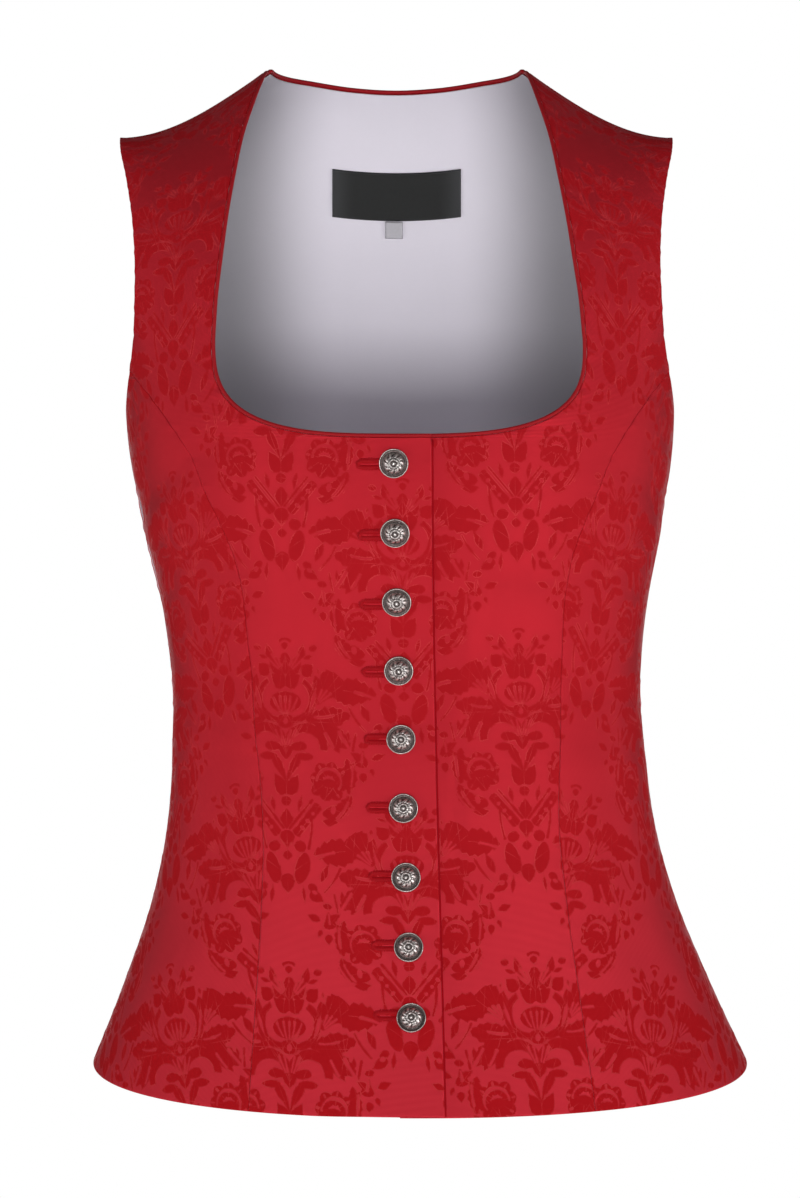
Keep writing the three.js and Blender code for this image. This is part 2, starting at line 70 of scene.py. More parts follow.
# Cross sections of the worn form: level, half width, depth in front, depth behind, exponent.
SECTIONS = (
    (-610, 207, 137, 127, 2.2),
    (-560, 184.3, 122, 113, 2.2),
    (-520, 167, 111, 102, 2.2),
    (-470, 148.3, 101, 90, 2.2),
    (-420, 137.3, 95, 80, 2.2),
    (-355, 133.4, 92, 75, 2.2),
    (-310, 137.3, 98.5, 79, 2.25),
    (-260, 147.6, 112, 87, 2.35),
    (BUST_LEVEL, 154.4, 117, 95, 2.45),
    (-170, 157, 113, 101, 2.6),
    (BLADE_LEVEL, 163, 112, 103, 2.65),
    (-90, 166, 112, 101, 2.7),
    (60, 170, 112, 101, 2.8),
)

# Seams and edges as seen from the front or back: height, distance from the centre line.
FRONT_SEAM = (
    (-600, 96), (-525, 89), (-478, 84.5), (-423, 81.5), (-370, 84.4), (-325, 86.8), (-300, 88.4),
    (-280, 92.2), (-261, 99.5), (-247, 105.8), (-220, 117.8), (-195, 134.2), (-174, 151),
)
BACK_SEAM = (
    (-600, 88), (-520, 79), (-450, 71), (-360, 67), (-300, 74), (-250, 90), (-215, 110), (-190, 130),
    (-165, 150),
)
FRONT_ARMHOLE = (
    (-174, 151), (-157, 148), (-134, 146.7), (-112, 146.4), (-90, 147.9), (-66, 151.8), (-48, 156),
)
BACK_ARMHOLE = ((-165, 150), (-135, 147), (-105, 146.5), (-80, 149), (-60, 152.5), (-46, 156))
FRONT_STRAP_EDGE = (
    (-160, 102.7), (-137, 101), (-115, 98.2), (-92, 95.2), (-68, 91.3), (-44, 87), (-22, 81), (-8, 77),
)
# The back's neck edge: distance from the centre line, height.
BACK_NECK_EDGE = ((-62, -1.2), (-50, -1.8), (-25, -4), (0, -5), (25, -4), (50, -1.8), (62, -1.2))
NECK_CORNER_Z = -160
NECK_CORNER_HALF = 102.7
NECK_BOTTOM_Z = -214.4
NECK_CORNER_SQUARE = 3
NECK_CORNER_PACE = 0.9
NECK_FADE = 8
CLOSING_TOP_SEAM_Z = -247

# The lean of the worn form: height, shift towards the wearer's left.
LEAN = ((-620, 15.4), (-520, 11.8), (-420, 8), (-300, 4.1), (-200, 2.1), (-60, 0), (60, 0))

# The closing.
LAP_TOP_HALF = 16.6
LAP_HEM_HALF = 12
LAP_LIFT = 2.9
LAP_FADE_FROM = 24
LAP_FADE_TO = 62

# Rows of the solids, which the finer rows here are counted in.
CLOSING_ROWS = 14
CORNER_ROWS = 10
STRAP_ROWS = 9
SEAM_ROWS = CLOSING_ROWS + CORNER_ROWS
ALL_ROWS = SEAM_ROWS + STRAP_ROWS
BACK_COLUMNS = 20
BACK_NECK_COLUMNS = 8

# How finely the cloth is divided here.
FINE_ROWS = 8
CLOTH_STEP = 2.6
WIDTH_STEPS = 12
FOOT_STEP = 26.0  # the length of a solid's row at the hem, and at the top
TOP_STEP = 22.0
FOLD_RADIUS = 0.8
FOLD_STEPS = (0, 0.1, 0.3, 0.6, 1.0, 1.8)
FOLD_CLEAR = 1.3  # how many folds in from an end the even rows begin
OUTER_FOLD = 0.6  # the share of a fold's roundness that shows on the outer face
ARC_STEPS = 32
LEVEL_STEP = 0.1
TURN_STEP = 0.001


def lerp(a, b, t):
    return a + (b - a) * t


def smooth(t):
    return t * t * (3 - 2 * t)


def unit(vectors):
    return vectors / np.linalg.norm(vectors, axis=-1, keepdims=True)


def curve(table, column=1):
    """A smooth curve through the rows of a table, as a function of its first column."""
    x = np.array([row[0] for row in table], float)
    y = np.array([row[column] for row in table], float)
    low = np.maximum(np.arange(len(x)) - 1, 0)
    high = np.minimum(np.arange(len(x)) + 1, len(x) - 1)
    slope = (y[high] - y[low]) / (x[high] - x[low])

    def value(at):
        i = np.clip(np.searchsorted(x, at) - 1, 0, len(x) - 2)
        step = x[i + 1] - x[i]
        t = (at - x[i]) / step
        rise = y[i + 1] - y[i]
        bend = lerp(step * slope[i] - rise, rise - step * slope[i + 1], t)
        return y[i] + rise * t + t * (1 - t) * bend

    return value


lean_at = curve(LEAN)
half_at = curve(SECTIONS, 1)
square_at = curve(SECTIONS, 4)

# A half of the form: its depth by level, the level its arch to the shoulder starts at, the arch's
# length, the way it faces along Y, and how far its hem drops in the middle.
Face = namedtuple("Face", "depth base arch sign hem_drop")
FRONT = Face(curve(SECTIONS, 2), BUST_LEVEL, 265, -1, 18.8)
BACK = Face(curve(SECTIONS, 3), BLADE_LEVEL, 185, 1, 8)


def crest_z(x):
    t = np.minimum(1, np.abs(x) / SHOULDER_HALF)
    return CREST_MIDDLE - CREST_FALL * np.sin(QUARTER * t) ** 2


def depth_at(face, level):
    return face.depth(np.minimum(level, face.base + face.arch))


def form_point(face, turn, level):
    """A point of the outer cloth: turn is an angle from the centre line, and level runs up the cloth."""
    turn, level = np.broadcast_arrays(np.asarray(turn, float), np.asarray(level, float))
    n = square_at(level)
    across = np.abs(np.sin(turn) / half_at(level)) ** n
    along = np.abs(np.cos(turn) / depth_at(face, level)) ** n
    radius = (across + along) ** (-1 / n)
    x = radius * np.sin(turn)
    y = face.sign * radius * np.cos(turn)
    arch = np.maximum(0, level - face.base) / face.arch * QUARTER
    z = np.where(level <= face.base, level, face.base + (crest_z(x) - face.base) * np.sin(arch))
    return np.stack([x, y * np.cos(arch), z], -1)


def form_normal(face, turn, level):
    high = np.minimum(level + LEVEL_STEP, face.base + face.arch)
    up = form_point(face, turn, high) - form_point(face, turn, high - 2 * LEVEL_STEP)
    side = form_point(face, turn + TURN_STEP, level) - form_point(face, turn - TURN_STEP, level)
    return unit(np.cross(up, side) * face.sign)


def form_place(face, turn, level):
    """The point and the outward normal at a place on the form."""
    return form_point(face, turn, level), form_normal(face, turn, level)


def at_level(face, x, level):
    share = np.minimum(1, np.abs(x) / half_at(level))
    n = square_at(level)
    return np.arctan2(x, depth_at(face, level) * (1 - share**n) ** (1 / n))


def level_of(face, x, z):
    share = np.clip((z - face.base) / (crest_z(x) - face.base), 0, 1)
    return np.where(z <= face.base, z, face.base + np.arcsin(share) / QUARTER * face.arch)


def locate(face, x, z):
    """The turn and level of a face's point that is seen at (x, z) from the front or back."""
    level = level_of(face, x, z)
    return at_level(face, x, level), level


def hem_z(face, turn):
    point = form_point(face, turn, SIDE_HEM_Z)
    return SIDE_HEM_Z - face.hem_drop * np.abs(point[..., 1] / depth_at(face, SIDE_HEM_Z))


def hem_bow(face, start, end, t):
    return hem_z(face, lerp(start, end, t)) - lerp(hem_z(face, start), hem_z(face, end), t)


def seam(face, table, row):
    """The turn and level of a seam at a row number, from 0 at the hem to SEAM_ROWS at the armhole."""
    x_at = curve(table)
    bottom = hem_z(face, locate(face, x_at(SIDE_HEM_Z), SIDE_HEM_Z)[0])
    low = lerp(bottom, CLOSING_TOP_SEAM_Z, row / CLOSING_ROWS)
    high = lerp(CLOSING_TOP_SEAM_Z, table[-1][0], (row - CLOSING_ROWS) / CORNER_ROWS)
    z = np.where(row <= CLOSING_ROWS, low, np.minimum(high, table[-1][0]))
    return locate(face, x_at(z), z)


def strap_edge(face, table, end_x, row):
    """The turn and level of a strap's edge, through a table's points and up to the shoulder line."""
    top = face.base + face.arch
    points = [locate(face, x, z) for z, x in table] + [(at_level(face, end_x, top), top)]
    rows = [(float(level), float(turn)) for turn, level in points]
    level = lerp(rows[0][0], top, np.clip((row - SEAM_ROWS) / STRAP_ROWS, 0, 1))
    return curve(rows)(level), level


def inset(face, turn, level, by):
    point = form_point(face, turn, np.minimum(level, face.base))
    return turn + by / np.hypot(point[..., 0], point[..., 1])


def side_edge(face, table, armhole, row):
    """The outer edge of a front or back panel: its seam and then its armhole."""
    turn, level = seam(face, table, row)
    turn = inset(face, turn, level, -STITCHED_GAP)
    arm_turn, arm_level = strap_edge(face, armhole, SHOULDER_HALF, row)
    on_seam = row <= SEAM_ROWS
    return np.where(on_seam, turn, arm_turn), np.where(on_seam, level, arm_level)


def neck_corner(row):
    start = -math.asin((LAP_TOP_HALF / NECK_CORNER_HALF) ** (NECK_CORNER_SQUARE / 2))
    share = np.clip((row - CLOSING_ROWS) / CORNER_ROWS, 0, 1)
    angle = lerp(start, QUARTER, share**NECK_CORNER_PACE)
    power = 2 / NECK_CORNER_SQUARE
    x = np.sign(angle) * np.abs(np.sin(angle)) ** power * NECK_CORNER_HALF
    z = lerp(NECK_CORNER_Z, NECK_BOTTOM_Z, np.maximum(0, np.cos(angle)) ** power)
    return locate(FRONT, x, z)


def front_inner(row):
    """The inner edge of a front: up the closing, round the neckline and up the strap."""
    rise = np.minimum(1, row / CLOSING_ROWS)
    z = lerp(hem_z(FRONT, 0.0), NECK_BOTTOM_Z, rise)
    closing = locate(FRONT, -lerp(LAP_HEM_HALF, LAP_TOP_HALF, rise), z)
    corner = neck_corner(row)
    strap = strap_edge(FRONT, FRONT_STRAP_EDGE, NECK_HALF, row)
    return tuple(
        np.where(row <= CLOSING_ROWS, closing[i], np.where(row <= SEAM_ROWS, corner[i], strap[i]))
        for i in (0, 1)
    )


def front_cells(row, t):
    inner = front_inner(row)
    outer = side_edge(FRONT, FRONT_SEAM, FRONT_ARMHOLE, row)
    foot = [front_inner(np.zeros(1))[0], side_edge(FRONT, FRONT_SEAM, FRONT_ARMHOLE, np.zeros(1))[0]]
    fade = 1 - np.minimum(1, row / CLOSING_ROWS)
    level = lerp(inner[1], outer[1], t) + fade * hem_bow(FRONT, foot[0], foot[1], t)
    return lerp(inner[0], outer[0], t), level


def level_at(face, turn, z):
    """The level up the cloth of the point at this turn and height."""
    return level_of(face, form_point(face, turn, z)[..., 0], z)


def side_cells(face, table):
    """The cells of a side panel, between its princess seam and the side seam."""
    (foot_turn, top_turn), (foot_level, top_level) = seam(face, table, np.array([0.0, SEAM_ROWS]))
    side_top = level_at(face, QUARTER, UNDERARM_Z)
    inner_foot = inset(face, foot_turn, foot_level, STITCHED_GAP)
    outer_foot = inset(face, QUARTER, SIDE_HEM_Z, -STITCHED_GAP)
    inner_top = inset(face, top_turn, top_level, STITCHED_GAP)
    outer_top = inset(face, QUARTER, side_top, -STITCHED_GAP)
    top_z = form_point(face, top_turn, top_level)[..., 2]

    def cells(row, t):
        turn, level = seam(face, table, row)
        rise = (level - foot_level) / (top_level - foot_level)
        outer_level = lerp(SIDE_HEM_Z, side_top, rise)
        inner_turn = inset(face, turn, level, STITCHED_GAP)
        outer_turn = inset(face, QUARTER, outer_level, -STITCHED_GAP)
        arm_turn = lerp(inner_top, outer_top, t)
        share = np.clip((QUARTER - arm_turn) / (QUARTER - top_turn), 0, 1)
        arm_z = lerp(UNDERARM_Z, top_z, share**2)
        arm = level_at(face, arm_turn, arm_z) - lerp(top_level, side_top, t)
        bow = (1 - rise) * hem_bow(face, inner_foot, outer_foot, t) + rise * arm
        return lerp(inner_turn, outer_turn, t), lerp(level, outer_level, t) + bow

    return cells


def back_top(t):
    """The turn and level of the back's top edge. t runs from 0 at one shoulder to 1 at the other."""
    across = (2 * t - 1) * BACK_COLUMNS / 2
    neck_side = BACK_NECK_COLUMNS / 2
    outer = np.clip((np.abs(across) - neck_side) / (BACK_COLUMNS / 2 - neck_side), 0, 1)
    top = BACK.base + BACK.arch
    shoulder = at_level(BACK, np.sign(across) * lerp(NECK_HALF, SHOULDER_HALF, outer), top)
    x = np.sin(np.clip(across / neck_side, -1, 1) * QUARTER) * NECK_HALF
    neck = locate(BACK, x, curve(BACK_NECK_EDGE)(x))
    on_neck = np.abs(across) < neck_side
    return np.where(on_neck, neck[0], shoulder), np.where(on_neck, neck[1], top)


def back_cells(row, t):
    turn, level = side_edge(BACK, BACK_SEAM, BACK_ARMHOLE, row)
    foot = side_edge(BACK, BACK_SEAM, BACK_ARMHOLE, np.zeros(1))[0]
    end_turn, end_level = back_top(t)
    top_turn = at_level(BACK, SHOULDER_HALF, BACK.base + BACK.arch)
    rise = row / ALL_ROWS
    across = 2 * t - 1
    drop = hem_z(BACK, foot * across) - hem_z(BACK, foot)
    scoop = (end_level - (BACK.base + BACK.arch)) * rise**NECK_FADE
    return turn * lerp(across, end_turn / top_turn, smooth(rise)), level + scoop + (1 - rise) * drop


def lap_lift(x):
    t = np.clip((x - LAP_FADE_FROM) / (LAP_FADE_TO - LAP_FADE_FROM), 0, 1)
    return LAP_LIFT * (1 - smooth(t))


def arc_across(face, turn, level):
    """The length of cloth from the centre line to a point, measured along its level."""
    share = np.linspace(0, 1, ARC_STEPS + 1)
    points = form_point(face, turn[..., None] * share, level[..., None])
    steps = np.linalg.norm(np.diff(points, axis=-2), axis=-1)
    return np.sign(turn) * steps.sum(-1)


# Soft creases of the worn cloth, as troughs (negative) and ridges seen from the front or back:
# face sign, x, z, direction in degrees from level, half length, half width, height.
CREASES = (
    (-1, -133, -236, 38, 34, 8, -1.1),
    (-1, -128, -252, 30, 30, 8, 0.7),
    (-1, 140, -240, -35, 30, 9, -0.8),
    (-1, -104, -345, 12, 44, 11, -0.8),
    (-1, -98, -378, 4, 36, 9, 0.6),
    (-1, 112, -352, -10, 40, 12, -0.7),
    (-1, 104, -392, -3, 34, 10, 0.5),
    (-1, -48, -322, 22, 40, 13, -0.7),
    (-1, 66, -285, -4, 46, 12, 1.1),
    (-1, -60, -420, -8, 46, 13, 0.5),
    (-1, 62, -438, 8, 44, 12, -0.5),
    (-1, -128, -505, 64, 46, 12, 0.8),
    (-1, 138, -520, -62, 44, 12, -0.7),
    (-1, -128, -120, 78, 40, 8, -0.6),
    (-1, 124, -108, -80, 40, 8, -0.5),
    (-1, 31, -360, 86, 90, 6, 0.5),
    (-1, 24, -430, 89, 80, 4, -0.4),
    (-1, -150, -285, 76, 62, 20, -1.0),
    (1, -60, -345, 10, 48, 12, -1.2),
    (1, -30, -372, 2, 56, 11, 0.9),
    (1, 52, -332, -14, 46, 12, -1.0),
    (1, 84, -380, -6, 40, 11, 0.7),
    (1, 4, -300, 6, 50, 14, -0.7),
    (1, -112, -300, 24, 38, 10, -0.8),
    (1, 118, -318, -22, 36, 10, -0.8),
    (1, -96, -168, -58, 44, 12, 0.8),
    (1, 92, -158, 60, 42, 12, 0.7),
    (1, -116, -498, 70, 46, 13, 0.8),
    (1, 60, -512, -76, 50, 13, -0.7),
    (1, 120, -490, -68, 42, 12, 0.8),
)
CREASE_DEPTH = 1.45  # what scales the heights
CREASE_BEND = 0.12


def crease_height(face, x, z):
    height = np.zeros(x.shape)
    for side, middle_x, middle_z, angle, half_length, half_width, rise in CREASES:
        if side != face.sign:
            continue
        turned = math.radians(angle)
        along = (x - middle_x) * math.cos(turned) + (z - middle_z) * math.sin(turned)
        across = (z - middle_z) * math.cos(turned) - (x - middle_x) * math.sin(turned)
        bent = across + CREASE_BEND * along**2 / half_length
        height += CREASE_DEPTH * rise * np.exp(-((along / half_length) ** 2) - (bent / half_width) ** 2)
    return height


# Small gathers that the stitches pull into a seam: how high, how far from it, and their two spacings.
PUCKER_HEIGHT = 0.16
PUCKER_REACH = 4.5
PUCKER_SPACING = (11.0, 6.7)


def pucker(distance, along):
    first, second = (2 * np.pi * along / spacing for spacing in PUCKER_SPACING)
    wave = np.sin(first) + 0.7 * np.sin(second + 1)
    return PUCKER_HEIGHT * wave * np.exp(-((distance / PUCKER_REACH) ** 2))


def fold_depth(distance):
    """How far the outer face sinks towards the middle of the wall next to a folded edge."""
    inside = np.clip(1 - distance / FOLD_RADIUS, 0, 1)
    return FOLD_RADIUS * (1 - np.sqrt(1 - inside**2))


def fine_rows(last):
    """Row numbers, finest at the two folded ends."""
    steps = np.array(FOLD_STEPS)
    low, high = steps / FOOT_STEP, last - steps[::-1] / TOP_STEP
    middle = np.linspace(0, last, int(last) * FINE_ROWS + 1)
    middle = middle[(middle > low[-1] * FOLD_CLEAR) & (middle < last - (last - high[0]) * FOLD_CLEAR)]
    return np.concatenate([low, middle, high])


def fine_columns(width, count):
    """Shares across each row, evenly spaced but for the folds at the two edges."""
    edge = np.array(FOLD_STEPS) / width[:, None]
    even = np.linspace(0, 1, count + 2)[1:-1]
    middle = lerp(edge[:, -1:], 1 - edge[:, -1:], even)
    return np.concatenate([edge, middle, 1 - edge[:, ::-1]], 1)


def grid_faces(shape, offset=0, flip=False):
    rows, columns = shape
    at = np.arange(rows * columns).reshape(rows, columns) + offset
    corners = [at[:-1, :-1], at[:-1, 1:], at[1:, 1:], at[1:, :-1]]
    if flip:
        corners.reverse()
    return np.stack([c.ravel() for c in corners], 1)


def add_object(name, data):
    made = bpy.data.objects.new(name, data)
    bpy.context.scene.collection.objects.link(made)
    return made


def mesh_piece(name, points, faces, materials, uv=None, face_material=None):
    """A smooth-shaded mesh that rides on the garment's one body. Points are in millimetres."""
    mesh = bpy.data.meshes.new(name)
    mesh.from_pydata((np.asarray(points) * MM).tolist(), [], [tuple(map(int, f)) for f in faces])
    for material in materials:
        mesh.materials.append(material)
    mesh.polygons.foreach_set("use_smooth", np.ones(len(mesh.polygons), bool))
    if face_material is not None:
        mesh.polygons.foreach_set("material_index", np.asarray(face_material, np.int32))
    if uv is not None:
        layer = mesh.uv_layers.new(name="cloth")
        corner = np.zeros(len(mesh.loops), np.int32)
        mesh.loops.foreach_get("vertex_index", corner)
        layer.data.foreach_set("uv", np.asarray(uv, float)[corner].ravel())
    mesh.update()
    piece = add_object(name, mesh)
    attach(piece, "root")
    return piece


def shell(outer, inner):
    """One closed skin of two grids with a shared rim: points, faces and each point's place in a grid."""
    rows, columns = outer.shape[:2]
    count = rows * columns
    keep = np.arange(2 * count)
    second = keep[count:].reshape(rows, columns)
    edge = np.ones((rows, columns), bool)
    edge[1:-1, 1:-1] = False
    second[edge] = np.arange(count).reshape(rows, columns)[edge]
    points = np.concatenate([outer.reshape(-1, 3), inner.reshape(-1, 3)])
    used = np.unique(keep)
    place = np.zeros(2 * count, int)
    place[used] = np.arange(len(used))
    back = keep[grid_faces((rows, columns), count, flip=True)]
    faces = np.concatenate([grid_faces((rows, columns)), back])
    return points[used], place[faces], used % count


def row_lengths(points):
    return np.linalg.norm(np.diff(points, axis=1), axis=-1).sum(1)


# Where a crown of the pattern lies on each panel: cloth length from the panel's reference, across and
# down, and the tilt of the grain in degrees.
Grain = namedtuple("Grain", "across down tilt")
GRAIN = {
    "front_left": Grain(62.7, 316.3, 0.5),
    "front_right": Grain(-67.2, 321.8, -1.0),
    "side_front_left": Grain(132.3, 230.6, -12.0),
    "side_front_right": Grain(-139.3, 230.5, 12.4),
    "side_back_left": Grain(128.0, 262.0, -9.0),
    "side_back_right": Grain(-128.0, 262.0, 9.0),
    "back": Grain(0, 190, 0),
}


def cloth_uv(grain, across, down):
    run, rise = math.cos(math.radians(grain.tilt)), math.sin(math.radians(grain.tilt))
    u, v = across - grain.across, down - grain.down
    return np.stack([u * run - v * rise, u * rise + v * run], -1)


def cloth_panel(node, face, cells, last_row, materials, mirrored=False, lift=None, depth=0.0, wall=WALL):
    """One cut piece of cloth with folded edges. depth moves it inwards, for a lining."""
    flip = -1 if mirrored else 1
    rows = fine_rows(last_row)[:, None]
    coarse = form_point(face, *cells(rows, np.linspace(0, 1, WIDTH_STEPS)[None, :]))
    width = row_lengths(coarse)
    shares = fine_columns(width, int(width.max() / CLOTH_STEP))
    turn, level = cells(rows, shares)
    point, normal = form_place(face, turn, level)
    to_side = np.minimum(shares, 1 - shares) * width[:, None]
    to_end = np.minimum(rows * FOOT_STEP, (last_row - rows) * TOP_STEP)
    fold = np.maximum(fold_depth(to_side), fold_depth(to_end)) * (wall / WALL)
    seen_x = flip * point[..., 0]
    height = crease_height(face, seen_x, point[..., 2]) + pucker(to_side, level) - depth
    if lift:
        height = height + lift(point[..., 0])
    outer = point + normal * (height - OUTER_FOLD * fold)[..., None]
    inner = point + normal * (height - wall + (2 - OUTER_FOLD) * fold)[..., None]
    for grid in (outer, inner):
        grid[..., 0] = flip * grid[..., 0] + lean_at(grid[..., 2])
    grain = GRAIN[node.removeprefix("lining_")]
    uv = cloth_uv(grain, flip * arc_across(face, turn, level), -level)
    # Columns run to the right as the outer face is seen, so that it looks outwards.
    if (flip > 0) != (face is FRONT):
        outer, inner, uv = outer[:, ::-1], inner[:, ::-1], uv[:, ::-1]
    points, faces, source = shell(outer, inner)
    inside = np.arange(len(faces)) >= len(faces) // 2
    uv = uv.reshape(-1, 2)[source]
    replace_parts(mesh_piece(f"cloth_{node}", points, faces, materials, uv, inside), node)


def surface_spot(face, x, z, lift=0.0, mirrored=False):
    """The point and normal of a panel's outer face that is seen at (x, z)."""
    flip = -1 if mirrored else 1
    local = flip * (np.asarray(x, float) - lean_at(z))
    point, normal = form_place(face, *locate(face, local, np.asarray(z, float)))
    raised = lift + crease_height(face, flip * local, np.asarray(z, float))
    point += normal * np.asarray(raised)[..., None]
    point[..., 0] = flip * point[..., 0] + lean_at(z)
    normal[..., 0] *= flip
    return point, normal


def tube(path, aside, up, radius, sides):
    """Rings of a round cord along a path, with closed ends, as points and faces."""
    angles = 2 * np.pi * (np.arange(sides) + 0.5) / sides
    ring = np.cos(angles)[None, :, None] * aside[:, None] + np.sin(angles)[None, :, None] * up[:, None]
    reach = np.broadcast_to(np.asarray(radius, float), (len(path),))
    points = path[:, None] + ring * reach[:, None, None]
    return closed_rings(points)


def closed_rings(points):
    rings, sides = points.shape[:2]
    at = np.arange(rings * sides).reshape(rings, sides)
    after = np.roll(at, -1, 1)
    around = np.stack([at[:-1], after[:-1], after[1:], at[1:]], -1).reshape(-1, 4)
    start, end = rings * sides, rings * sides + 1
    caps = [(start, after[0, k], at[0, k]) for k in range(sides)]
    caps += [(end, at[-1, k], after[-1, k]) for k in range(sides)]
    middles = np.stack([points[0].mean(0), points[-1].mean(0)])
    return np.concatenate([points.reshape(-1, 3), middles]), [tuple(f) for f in around] + caps


class Graph:
    """Builds the nodes of a material from calls that read like sums."""

    def __init__(self, name):
        self.material = bpy.data.materials.new(name)
        self.material.use_nodes = True
        self.nodes = self.material.node_tree.nodes
        self.links = self.material.node_tree.links
        self.nodes.clear()

    def node(self, kind, inputs=(), **settings):
        made = self.nodes.new("ShaderNode" + kind)
        for name, value in settings.items():
            setattr(made, name, value)
        pairs = inputs.items() if isinstance(inputs, dict) else enumerate(inputs)
        for key, value in pairs:
            self.feed(made.inputs[key], value)
        return made

    def feed(self, socket, value):
        if isinstance(value, bpy.types.NodeSocket):
            self.links.new(value, socket)
        else:
            socket.default_value = value

    def math(self, operation, *values):
        return self.node("Math", values, operation=operation).outputs[0]

    def vector(self, operation, *values):
        made = self.node("VectorMath", values, operation=operation)
        return made.outputs["Value" if operation in ("DOT_PRODUCT", "LENGTH") else "Vector"]

    def xyz(self, x, y, z=0.0):
        return self.node("CombineXYZ", (x, y, z)).outputs[0]

    def split(self, vector):
        return self.node("SeparateXYZ", (vector,)).outputs

    def span(self, value, low, high, to_low=0.0, to_high=1.0):
        values = (value, low, high, to_low, to_high)
        return self.node("MapRange", values, interpolation_type="SMOOTHSTEP").outputs[0]

    def noise(self, vector, scale, detail=2.0):
        return self.node("TexNoise", {"Vector": vector, "Scale": scale, "Detail": detail}).outputs[0]

    def mix(self, share, first, second):
        return self.node("Mix", {0: share, 6: first, 7: second}, data_type="RGBA").outputs[2]

    def profile(self, value, points):
        """A curve from 0 to 1, through a list of (place, height)."""
        made = self.node("FloatCurve", {"Value": value})
        curve_points = made.mapping.curves[0].points
        if points[0][1] > 0:
            points = ((0, 0), (0.003, points[0][1]), *points[1:])
        for place, height in points[1:-1]:
            curve_points.new(place, height)
        for point, (place, height) in zip(curve_points, points):
            point.location = (place, height)
            point.handle_type = "VECTOR"
        made.mapping.extend = "HORIZONTAL"
        made.mapping.update()
        return made.outputs[0]

    def cloth_place(self):
        """A place on the flat cloth in millimetres: across, down and both."""
        place = self.node("UVMap", uv_map="cloth").outputs[0]
        across, down, _ = self.split(place)
        return across, down, self.xyz(across, down)

    def bump(self, height, distance, strength):
        inputs = {"Height": height, "Distance": distance * MM, "Strength": strength}
        return self.node("Bump", inputs).outputs[0]

    def surface(self, **sockets):
        inputs = {name.replace("_", " "): value for name, value in sockets.items()}
        shader = self.node("BsdfPrincipled", inputs)
        output = self.node("OutputMaterial")
        self.links.new(shader.outputs[0], output.inputs[0])
        return self.material


# The outlines of petals: the share of the way from root to tip, and the share of the half width there.
PROFILES = {
    "oval": (
        (0, 0), (0.03, 0.34), (0.1, 0.6), (0.25, 0.87), (0.5, 1), (0.75, 0.87), (0.9, 0.6),
        (0.97, 0.34), (1, 0),
    ),
    "leaf": ((0, 0.1), (0.15, 0.45), (0.4, 0.95), (0.55, 1), (0.75, 0.72), (0.9, 0.32), (1, 0)),
    "drop": ((0, 0), (0.04, 0.45), (0.15, 0.82), (0.35, 1), (0.6, 0.78), (0.85, 0.3), (1, 0)),
    "plume": ((0, 0.35), (0.25, 0.6), (0.6, 1), (0.8, 0.95), (0.93, 0.6), (1, 0)),
    "ragged": (
        (0, 0.12), (0.12, 0.5), (0.16, 0.42), (0.28, 0.85), (0.33, 0.72), (0.46, 1), (0.52, 0.86),
        (0.64, 0.98), (0.7, 0.76), (0.8, 0.76), (0.85, 0.5), (0.94, 0.4), (1, 0),
    ),
    "fan": (
        (0, 0.2), (0.3, 0.42), (0.6, 0.85), (0.78, 1), (0.84, 0.84), (0.9, 0.9), (0.94, 0.6),
        (0.98, 0.5), (1, 0),
    ),
    "strap": ((0, 0), (0.03, 0.8), (0.06, 1), (0.94, 1), (0.97, 0.8), (1, 0)),
}
